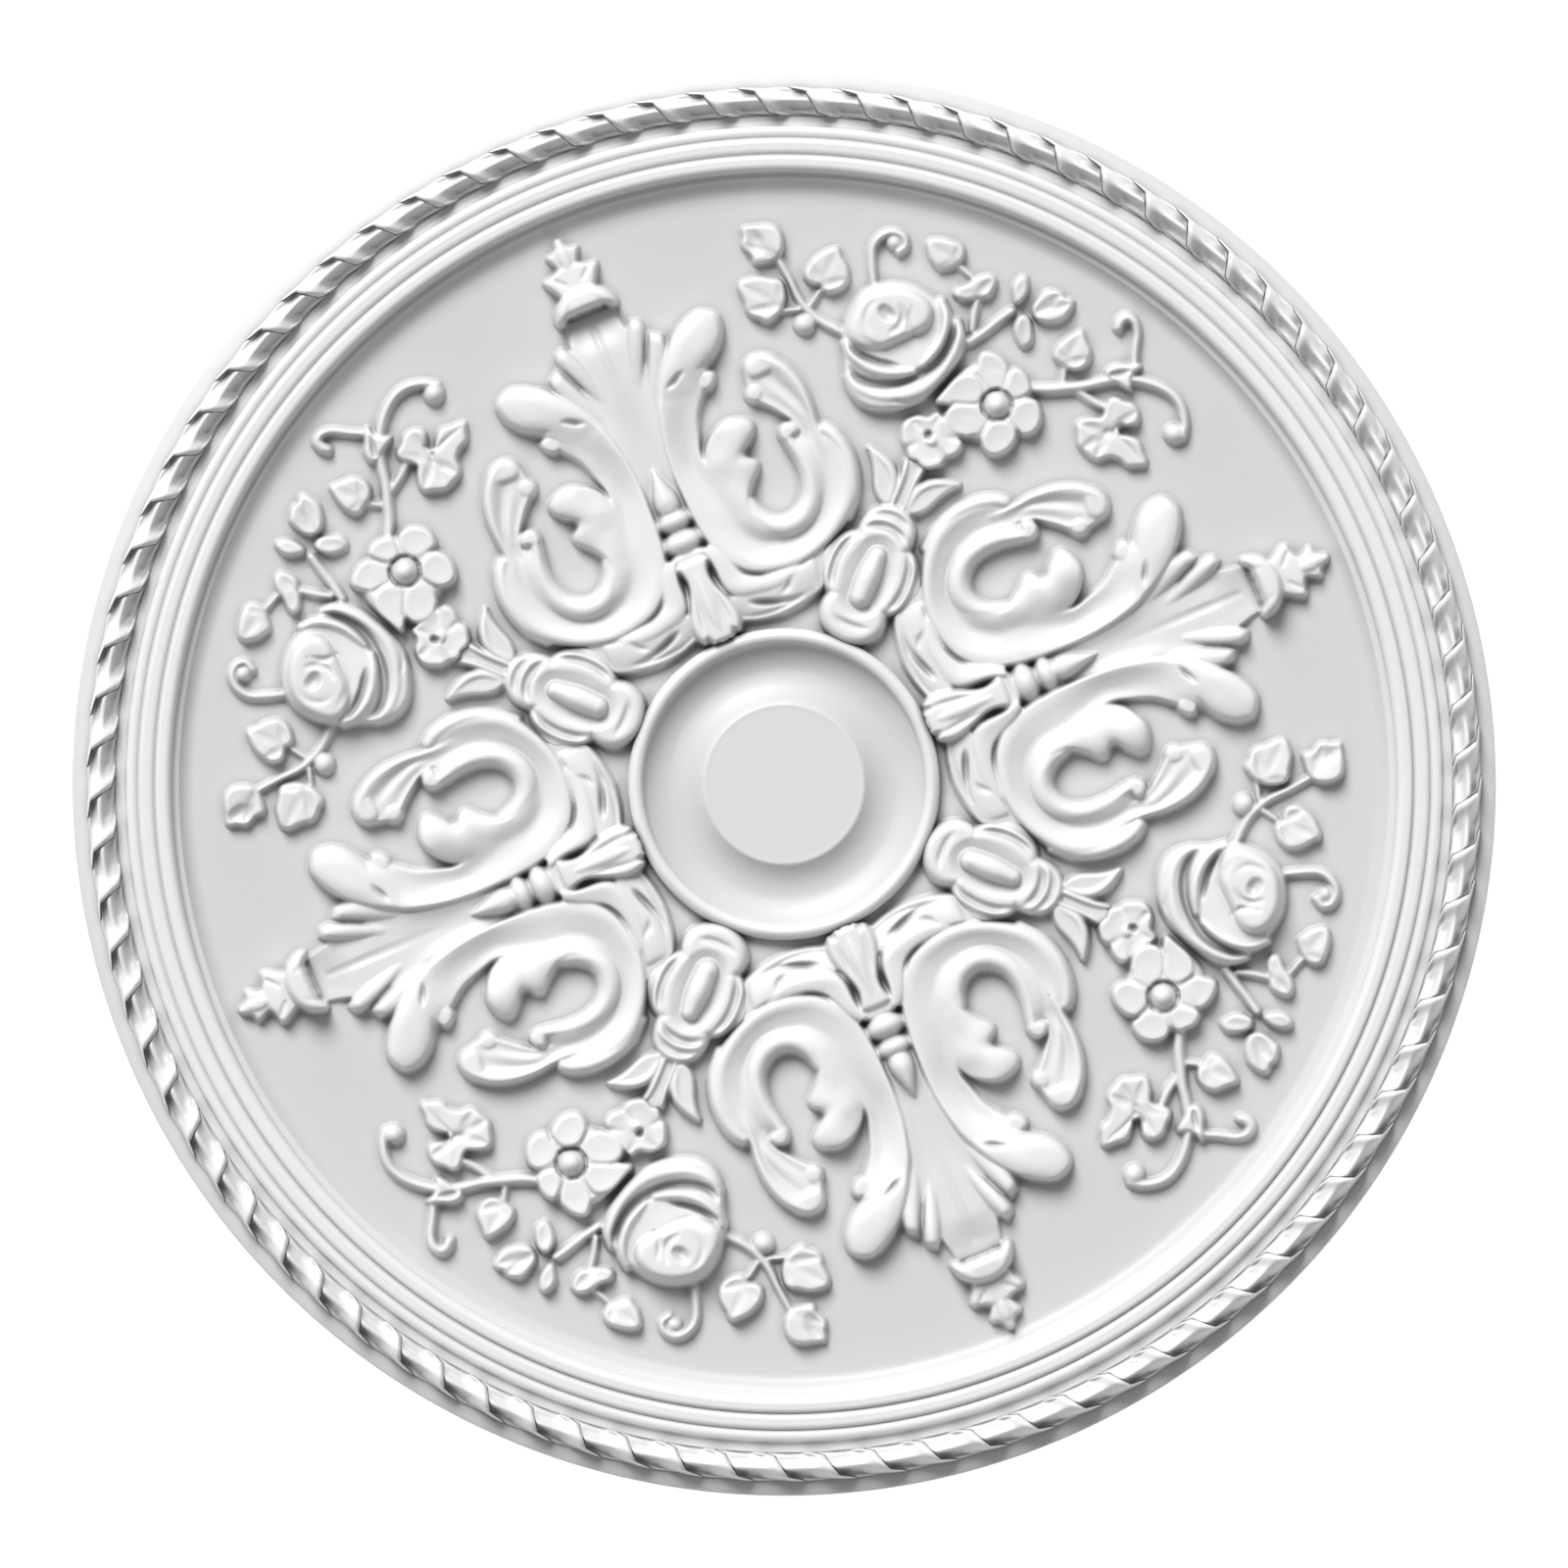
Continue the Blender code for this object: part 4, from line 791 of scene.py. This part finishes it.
def carve_rose(relief):
    """An open rose: nested petals about a rolled bud."""
    relief.plate([
        (-67, 252), (-70, 262), (-70, 275), (-67, 285), (-60, 292.5), (-50, 297), (-40, 299), (-30, 297.5),
        (-20, 294.5), (-12, 290.5), (-6, 286.5), (-1, 280), (0.5, 270), (-0.5, 262), (-3, 255), (-5, 247),
        (-7.5, 241), (-12, 234), (-20, 227.5), (-30, 222.5), (-38, 220.5), (-46, 221.5), (-52, 225), (-57.5, 231),
        (-60, 238), (-64, 246),
    ], 12.5, edge=7)
    relief.band([
        (-9, 287, 4, 11), (-5, 281, 4.6, 14), (-3.8, 272, 5, 15), (-5, 262, 5.2, 15), (-8, 252.5, 5.6, 15),
        (-13, 244, 6, 15), (-20, 237.5, 6, 15), (-30, 232, 5.6, 14.5), (-40, 229.5, 5.4, 14), (-49, 230.5, 5, 14),
        (-55, 234.5, 4, 12),
    ], edge=5.5)
    relief.grooves(
        ([(-27, 231, 1.4, 0.2), (-19, 233, 1.8, 1), (-13, 237.5, 1.4, 0.2)], 1.8),
        ([
            (-11, 287, 2, 0.3), (-9, 280, 2.8, 1), (-9, 271, 3, 1), (-10.5, 263, 3.2, 1), (-14, 256, 3.4, 1),
            (-19.5, 249.5, 3.6, 1), (-26.5, 243, 3.6, 1), (-34, 238.5, 3.4, 1), (-42, 236, 3, 1),
            (-50, 236, 2.6, 0.9), (-56, 239, 2, 0.3),
        ], 6),
    )
    relief.band([
        (-22, 295, 3.6, 13), (-16.5, 289, 4, 16), (-13.8, 281, 4, 17), (-13.5, 272, 4, 17), (-15.5, 264, 3.8, 16.5),
        (-18, 257.5, 3, 14.5),
    ], edge=4.6)
    relief.band([
        (-64, 252, 4, 14), (-58, 246.5, 4.6, 16.5), (-48, 243.6, 4.8, 17), (-38, 244.2, 4.8, 17),
        (-29, 247.5, 4.6, 16.5), (-22, 251.5, 3.6, 14.5),
    ], edge=5.4)
    relief.plate([
        (-66, 253), (-69, 263), (-68.5, 275), (-65, 284), (-58, 290.5), (-49, 295), (-40, 297), (-30, 295),
        (-23.5, 291), (-20.5, 283), (-22, 277), (-26, 272.5), (-32, 267.5), (-37, 261.5), (-41.5, 255),
        (-49, 252.5), (-58, 251),
    ], 20.5, edge=9, tilt=(0.02, 0.03))
    relief.grooves(
        ([
            (-60, 250, 1.8, 0.4), (-52, 248.8, 2.2, 1), (-44, 248.8, 2.2, 1), (-37, 250, 2, 0.9),
            (-31, 251, 1.6, 0.3),
        ], 4.5),
        ([(-37, 285, 1.6, 0.1), (-35.8, 279, 2.2, 0.8), (-34, 274.5, 2.2, 1), (-29.5, 271, 1.8, 0.5)], 2.6),
        ([(-58, 258, 2, 0.2), (-50, 257, 2.6, 0.8), (-43, 258, 2.4, 0.8), (-38, 264.5, 2, 0.2)], 2.0),
        ([(-43, 284, 2, 0.3), (-39.5, 279, 2.4, 1), (-39, 272.5, 2.4, 1), (-42.5, 267, 2, 0.3)], 2.2),
        ([(-57, 283, 1.8, 0.2), (-60, 276, 2.2, 0.8), (-58.5, 268, 2.2, 0.8), (-53, 263.5, 1.8, 0.2)], 1.3),
        ([(-50.5, 277.5, 4.2, 0.8), (-48, 276.5, 4.4, 1), (-46, 276.5, 3.6, 0.8)], 4),
    )


# Meshes

def slab_of(name, relief, field, softness):
    """A closed mesh of the carved islands: their face, a flat underside in the body, and the walls between."""
    heights = softened(relief.z, softness / relief.step) - FACE_TRIM
    used = np.zeros(heights.shape, bool)
    standing = heights > 0
    cells = standing[:-1, :-1] | standing[1:, :-1] | standing[:-1, 1:] | standing[1:, 1:]
    for di in (0, 1):
        for dj in (0, 1):
            used[di:di + cells.shape[0], dj:dj + cells.shape[1]] |= cells
    number = np.full(used.shape, -1)
    number[used] = np.arange(used.sum())
    rows, columns = np.nonzero(used)
    top = np.stack([relief.xs[columns], relief.ys[rows], np.maximum(heights[used], -FACE_TRIM)], axis=1)
    under = top.copy()
    under[:, 2] = -BURIED
    count = len(top)
    i, j = np.nonzero(cells)
    corners = np.stack([number[i, j], number[i, j + 1], number[i + 1, j + 1], number[i + 1, j]], axis=1)
    faces = [corners, corners[:, ::-1] + count]
    padded = np.pad(cells, 1)
    for (di, dj), (a, b) in (((-1, 0), (0, 1)), ((0, 1), (1, 2)), ((1, 0), (2, 3)), ((0, -1), (3, 0))):
        open_side = ~padded[1 + i + di, 1 + j + dj]
        start, end = corners[open_side, a], corners[open_side, b]
        faces.append(np.stack([end, start, start + count, end + count], axis=1))
    points = np.concatenate([top, under]) * MM
    points[:, 2] += field
    return mesh_from(name, points, np.concatenate(faces))


def mesh_from(name, points, faces):
    """A smooth-shaded object from arrays of points and of four-cornered faces."""
    data = bpy.data.meshes.new(name)
    data.vertices.add(len(points))
    data.vertices.foreach_set("co", np.ascontiguousarray(points, np.float32).ravel())
    data.loops.add(faces.size)
    data.loops.foreach_set("vertex_index", np.ascontiguousarray(faces, np.int32).ravel())
    data.polygons.add(len(faces))
    data.polygons.foreach_set("loop_start", np.arange(0, faces.size, faces.shape[1], dtype=np.int32))
    data.update(calc_edges=True)
    data.validate()
    data.shade_smooth()
    made = bpy.data.objects.new(name, data)
    bpy.context.scene.collection.objects.link(made)
    return made


def thinned(piece, most):
    """Thins a mesh where it is flattest until no more than so many triangles are left."""
    triangles = sum(len(face.vertices) - 2 for face in piece.data.polygons)
    if triangles > most:
        modifier = piece.modifiers.new("thin", "DECIMATE")
        modifier.ratio = most / triangles
        modifier.use_collapse_triangulate = True
        settle(piece)


def settle(piece):
    """Turns a piece and its modifiers into a plain mesh."""
    bpy.context.view_layer.update()
    graph = bpy.context.evaluated_depsgraph_get()
    data = bpy.data.meshes.new_from_object(piece.evaluated_get(graph))
    piece.modifiers.clear()
    old = piece.data
    piece.data = data
    data.name = piece.name
    bpy.data.meshes.remove(old)


def repeat_tree():
    """Geometry Nodes that set copies of a piece evenly round the Z axis, join them and give them a material."""
    name = "repeat_round"
    if name in bpy.data.node_groups:
        return bpy.data.node_groups[name]
    tree = bpy.data.node_groups.new(name, "GeometryNodeTree")
    for label, way, kind in (
        ("Piece", "INPUT", "Geometry"), ("Copies", "INPUT", "Int"), ("First Bearing", "INPUT", "Float"),
        ("Join Distance", "INPUT", "Float"), ("Material", "INPUT", "Material"), ("Ring", "OUTPUT", "Geometry"),
    ):
        tree.interface.new_socket(label, in_out=way, socket_type="NodeSocket" + kind)
    made = {}
    for label, kind in (
        ("given", "NodeGroupInput"), ("result", "NodeGroupOutput"), ("spots", "GeometryNodePoints"),
        ("index", "GeometryNodeInputIndex"), ("step", "ShaderNodeMath"), ("turn", "ShaderNodeMath"),
        ("start", "ShaderNodeMath"), ("axis", "ShaderNodeCombineXYZ"), ("place", "GeometryNodeInstanceOnPoints"),
        ("real", "GeometryNodeRealizeInstances"), ("join", "GeometryNodeMergeByDistance"),
        ("paint", "GeometryNodeSetMaterial"),
    ):
        made[label] = tree.nodes.new(kind)
    for label, operation in (("step", "DIVIDE"), ("turn", "MULTIPLY"), ("start", "ADD")):
        made[label].operation = operation
    made["step"].inputs[0].default_value = 2 * math.pi
    for source, output, target, socket in (
        ("given", "Copies", "step", 1), ("given", "Copies", "spots", "Count"), ("step", 0, "turn", 0),
        ("index", 0, "turn", 1), ("turn", 0, "start", 0), ("given", "First Bearing", "start", 1),
        ("start", 0, "axis", "Z"), ("spots", 0, "place", "Points"), ("given", "Piece", "place", "Instance"),
        ("axis", 0, "place", "Rotation"), ("place", 0, "real", 0), ("real", 0, "join", "Geometry"),
        ("given", "Join Distance", "join", "Distance"), ("join", 0, "paint", "Geometry"),
        ("given", "Material", "paint", "Material"), ("paint", 0, "result", 0),
    ):
        tree.links.new(made[source].outputs[output], made[target].inputs[socket])
    return tree


def repeat_round(piece, copies, first, join, material):
    """Repeats a piece round the centre and turns the result into a plain mesh."""
    modifier = piece.modifiers.new("repeat_round", "NODES")
    modifier.node_group = repeat_tree()
    values = {"Copies": copies, "First Bearing": first, "Join Distance": join, "Material": material}
    for item in modifier.node_group.interface.items_tree:
        if item.in_out == "INPUT" and item.name in values:
            modifier[item.identifier] = values[item.name]
    settle(piece)


def fit_to_frame(piece):
    """Ties a finished piece to the casting that it stands for."""
    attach(piece, BODY)
    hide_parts(NODE)


def casting_material():
    """The one white of all pieces, made once."""
    return bpy.data.materials.get(FINISH_NAME) or white_casting(bpy.context.scene.rose_finish)


# The turned body

# Stops along the turned outline in millimetres, each with the bulge to its left of the run to the next stop, as a
# share of that run's length, and the number of points on the run. First the lip, rope seat, cove, reeds and ledge:
# how far in from the wall, and the height above the back
RIM_STOPS = (
    (0, 18.8, -0.2, 4), (1.2, 20.4, -0.03, 5), (9.6, 22.0, 0, 1), (11, 22.0, 0, 1), (24, 25.6, 0.10, 6),
    (31.2, 25.6, -0.16, 6), (34.4, 29.6, -0.12, 6), (38.6, 28.3, -0.22, 7), (43.4, 31.0, -0.14, 7),
    (48.4, 29.2, -0.22, 7), (52.6, 31.8, -0.16, 7), (57.2, 30.0, -0.05, 5), (58.6, 24.4, 0.1, 3),
    (60.6, 23.4, 0, 2), (62.4, 22.8, 0.16, 12),
)
FIELD_EDGE = 72
# Then the field, bead, dish and disc: the radius, and the height above the field
CENTRE_STOPS = (
    (250, 0, 0, 1), (160, 0, 0, 1), (96, 0, 0, 1), (91.8, 0, 0.2, 3), (90.2, 1.6, -0.26, 9), (87.0, 10.2, -0.20, 8),
    (82.4, 6.2, 0.05, 5), (80.8, 2.8, 0.07, 12), (67, -3.4, 0.10, 14), (48.2, 3.8, -0.16, 6), (45.0, 5.0, 0, 1),
    (43, 5.0, 0, 1), (24, 5.0, 0, 1), (0, 5.0, 0, 1),
)


def turned_profile(outer, field):
    """Radius and height in millimetres from the middle of the back, round the wall, to the middle of the face."""
    r, f = outer / MM, field / MM
    stops = [(0, 0, 0, 1), (r * 0.5, 0, 0, 1), (r - 0.6, 0, -0.2, 3), (r, 0.6, 0, 1), (r, 10, 0, 1)]
    stops += [(r - inwards, *rest) for inwards, *rest in RIM_STOPS] + [(r - FIELD_EDGE, f, 0, 1)]
    stops += [(radius, f + height, bulge, count) for radius, height, bulge, count in CENTRE_STOPS]
    profile = []
    for (x0, y0, bulge, count), (x1, y1, *_) in zip(stops, stops[1:]):
        for t in np.arange(count) / count:
            lift = 4 * bulge * t * (1 - t)
            profile.append((x0 + (x1 - x0) * t - (y1 - y0) * lift, y0 + (y1 - y0) * t + (x1 - x0) * lift))
    return profile + [stops[-1][:2]]


def turned_wedge(name, profile, steps):
    """One wedge of a turned body, which repeats into the whole."""
    bearing = 2 * math.pi / steps
    ring = np.array(profile) * MM
    near = np.stack([ring[:, 0], np.zeros(len(ring)), ring[:, 1]], axis=1)
    far = np.stack([ring[:, 0] * math.cos(bearing), ring[:, 0] * math.sin(bearing), ring[:, 1]], axis=1)
    count = len(ring)
    start = np.arange(count - 1)
    faces = np.stack([start, start + count, start + count + 1, start + 1], axis=1)
    return mesh_from(name, np.concatenate([near, far]), faces[:, ::-1])


# The rope

def eased(share):
    """A smooth step from 0 to 1."""
    share = np.clip(share, 0, 1)
    return share * share * (3 - 2 * share)


def strand_lean(v):
    """How far a cleft has run round the rim, in twists, by the share v of the way across the rope."""
    return 0.40 * (v - 0.45) - 0.26 * eased((0.20 - v) / 0.17) + 0.16 * eased((v - 0.86) / 0.14)


def strand_height(u, v):
    """Loss of height along a strand from its cleft at u 0 to the next at u 1, as a share of the cleft's depth."""
    # Up out of the cleft, down the strand's long side to its valley, and up again to the next strand
    valley = 0.50 - 0.12 * v
    climb = 0.85 * (1 - rounded(u / 0.12))
    slide = 0.90 * eased((u - 0.04) / (valley - 0.04))
    lift = (0.28 + 0.10 * v) * eased((u - valley) / (0.97 - valley))
    # A soft ridge along the crest, and the drop into the next cleft
    fold = 0.13 * np.exp(-((v - 0.50) / 0.10) ** 2) * eased((u - 0.22) / 0.25)
    drop = 0.40 * (1 - rounded((1 - u) / 0.05))
    # Shallower on the crest than on the flanks, which each have a pocket before the next cleft
    flank = 0.70 + 0.48 * (1 - math.exp(-((v - 0.48) / 0.20) ** 2))
    inner = eased((v - 0.54) / 0.10) * eased((0.97 - v) / 0.26)
    outer = eased((0.43 - v) / 0.10) * eased((v - 0.01) / 0.22)
    pocket = 0.44 * (inner + outer) * eased((u - 0.40) / 0.18) * eased((1 - u) / 0.05)
    return flank * (climb + slide - lift - fold + drop) + pocket


def rope_strand(name, rim):
    """One twist of the rope from cleft to cleft, as a strip that closes with its neighbours."""
    u = np.array([
        0, 0.006, 0.015, 0.028, 0.045, 0.08, 0.13, 0.19, 0.26, 0.33, 0.40, 0.47, 0.55, 0.64, 0.74, 0.84, 0.92, 0.97,
        0.985, 0.995, 1.0,
    ])
    v = np.array([
        0, 0.01, 0.03, 0.06, 0.09, 0.115, 0.14, 0.16, 0.18, 0.2, 0.22, 0.245, 0.27, 0.31, 0.36, 0.41, 0.45, 0.485,
        0.52, 0.555, 0.6, 0.66, 0.72, 0.77, 0.81, 0.84, 0.86, 0.88, 0.9, 0.92, 0.94, 0.96, 0.98, 0.993, 1.0,
    ])
    pitch = 2 * math.pi / rim.rope_twists

    def row(across, height):
        bearing = rim.rope_start - (u + strand_lean(across)) * pitch
        radius = rim.outer_radius - ROPE_INSET - across * rim.rope_width
        return np.stack([radius * np.cos(bearing), radius * np.sin(bearing), height], axis=1)

    rows = []
    for across in v:
        foot = ROPE_FOOT + ROPE_FOOT_RISE * across
        arch = math.sqrt(max(1 - (2 * across**0.92 - 1) ** 2, 0))
        loss = strand_height(u, across) * rim.rope_cleft * arch**0.4
        rows.append(row(across, np.maximum(foot + (rim.crest - foot) * arch - loss, foot - MM)))
    rows += [row(across, np.full(u.shape, ROPE_ROOT)) for across in (1.0, 0.5, 0.0)]
    rows.append(rows[0])
    points = np.concatenate(rows)
    n = len(u)
    i, j = np.meshgrid(np.arange(len(rows) - 1), np.arange(n - 1), indexing="ij")
    start = (i * n + j).ravel()
    faces = np.stack([start, start + 1, start + n + 1, start + n], axis=1)
    return mesh_from(name, points, faces)


# Operators

class TurnedBody(Operator):
    """Turn the back, wall, reeds, field, bead and dish in one piece."""

    bl_idname = "rose.turned_body"
    bl_label = "Turned body"

    def execute(self, context):
        rim, carving = context.scene.rose_rim, context.scene.rose_carving
        profile = turned_profile(rim.outer_radius, carving.field_height)
        piece = turned_wedge("turned_body", profile, rim.turned_steps)
        repeat_round(piece, rim.turned_steps, 0.0, JOIN_DISTANCE, casting_material())
        fit_to_frame(piece)
        return {"FINISHED"}


class RopeBead(Operator):
    """Twist the rope round the rim, strand by strand."""

    bl_idname = "rose.rope_bead"
    bl_label = "Rope bead"

    def execute(self, context):
        rim = context.scene.rose_rim
        piece = rope_strand("rope_bead", rim)
        repeat_round(piece, rim.rope_twists, rim.rope_start, JOIN_DISTANCE, casting_material())
        fit_to_frame(piece)
        return {"FINISHED"}


def carved_group(context, name, bearing, low, high, carvers, mirror):
    """Carves one motif in its box, casts it and repeats it round the centre."""
    carving = context.scene.rose_carving
    relief = Relief(low, high, carving.grain / MM)
    for carve in carvers:
        carve(relief)
    if mirror:
        relief = relief.mirrored()
    piece = slab_of(name, relief, carving.field_height, carving.softness / MM)
    thinned(piece, carving.most_triangles)
    repeat_round(piece, MOTIFS_ROUND, math.radians(bearing - 90), 0.0, casting_material())
    fit_to_frame(piece)


class Scrollwork(Operator):
    """Carve the four finials with their pairs of acanthus scrolls."""

    bl_idname = "rose.scrollwork"
    bl_label = "Scrollwork"

    def execute(self, context):
        carvers = (carve_fan, carve_scroll, carve_finial, carve_bellflower)
        carved_group(context, "scrollwork", FINIAL_BEARING, (-30, 84), (122, 350), carvers, True)
        return {"FINISHED"}


class Quatrefoils(Operator):
    """Carve the four ringed quatrefoils and their sprigs."""

    bl_idname = "rose.quatrefoils"
    bl_label = "Quatrefoils"

    def execute(self, context):
        carvers = (carve_quatrefoil, carve_sprigs)
        carved_group(context, "quatrefoils", FOIL_BEARING, (-24, 80), (36, 214), carvers, True)
        return {"FINISHED"}


class Sprays(Operator):
    """Carve the four sprays of roses, flowers, leaves and tendrils."""

    bl_idname = "rose.sprays"
    bl_label = "Rose sprays"

    def execute(self, context):
        carvers = (carve_spray_stems, carve_spray_leaves, carve_flowers, carve_rose)
        carved_group(context, "rose_sprays", FOIL_BEARING, (-160, 190), (152, 340), carvers, False)
        return {"FINISHED"}


class Stage(Operator):
    """Lay the floor and set the lights and the camera."""

    bl_idname = "rose.stage"
    bl_label = "Stage"

    def execute(self, context):
        stage = context.scene.rose_stage
        half = FLOOR_HALF_SIZE
        corners = [(x, y, -FLOOR_DROP) for x, y in ((-half, -half), (half, -half), (half, half), (-half, half))]
        floor = mesh_from("floor", np.array(corners), np.array([(0, 1, 2, 3)]))
        floor.data.materials.append(pale_floor())
        key = bpy.data.lights.new("key", "SUN")
        key.energy = stage.sun
        key.angle = KEY_SPREAD
        lamp = bpy.data.objects.new("key", key)
        direction = Vector(KEY_FROM)
        lamp.rotation_mode = "QUATERNION"
        lamp.rotation_quaternion = direction.to_track_quat("Z", "Y")
        lamp.location = direction * 3
        context.scene.collection.objects.link(lamp)
        world = bpy.data.worlds.new("studio")
        world.use_nodes = True
        sky = world.node_tree.nodes["Background"]
        sky.inputs["Color"].default_value = (1.0, 1.0, 1.0, 1.0)
        sky.inputs["Strength"].default_value = stage.sky
        context.scene.world = world
        camera = bpy.data.cameras.new("camera")
        camera.lens = camera.sensor_width * stage.camera_distance / stage.view_width
        camera.clip_end = 100
        eye = bpy.data.objects.new("camera", camera)
        eye.location = (0.0, 0.0, stage.camera_distance)
        context.scene.collection.objects.link(eye)
        context.scene.camera = eye
        context.scene.view_settings.view_transform = "Standard"
        return {"FINISHED"}


class RosePanel(Panel):
    """Sizes, colours and steps of the ceiling rose."""

    bl_idname = "VIEW3D_PT_ceiling_rose"
    bl_label = "Ceiling rose"
    bl_space_type = "VIEW_3D"
    bl_region_type = "UI"
    bl_category = "Ceiling rose"

    def draw(self, context):
        for name, group in SETTINGS.items():
            box = self.layout.box()
            held = getattr(context.scene, name)
            for item in group.__annotations__:
                box.prop(held, item)
        for step in STEPS:
            self.layout.operator(step.bl_idname)


SETTINGS = {
    "rose_rim": RimSettings,
    "rose_carving": CarvingSettings,
    "rose_finish": FinishSettings,
    "rose_stage": StageSettings,
}
STEPS = (TurnedBody, RopeBead, Scrollwork, Quatrefoils, Sprays, Stage)


def register():
    for group in SETTINGS.values():
        bpy.utils.register_class(group)
    for step in STEPS:
        bpy.utils.register_class(step)
    bpy.utils.register_class(RosePanel)
    for name, group in SETTINGS.items():
        setattr(bpy.types.Scene, name, PointerProperty(type=group))


def unregister():
    for name in SETTINGS:
        delattr(bpy.types.Scene, name)
    bpy.utils.unregister_class(RosePanel)
    for step in reversed(STEPS):
        bpy.utils.unregister_class(step)
    for group in reversed(list(SETTINGS.values())):
        bpy.utils.unregister_class(group)


def main():
    register()
    bpy.ops.rose.turned_body()
    bpy.ops.rose.rope_bead()
    bpy.ops.rose.scrollwork()
    bpy.ops.rose.quatrefoils()
    bpy.ops.rose.sprays()
    bpy.ops.rose.stage()
    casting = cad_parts[NODE]
    casting.data.materials.clear()
    casting.data.materials.append(casting_material())


if __name__ == "__main__":
    main()
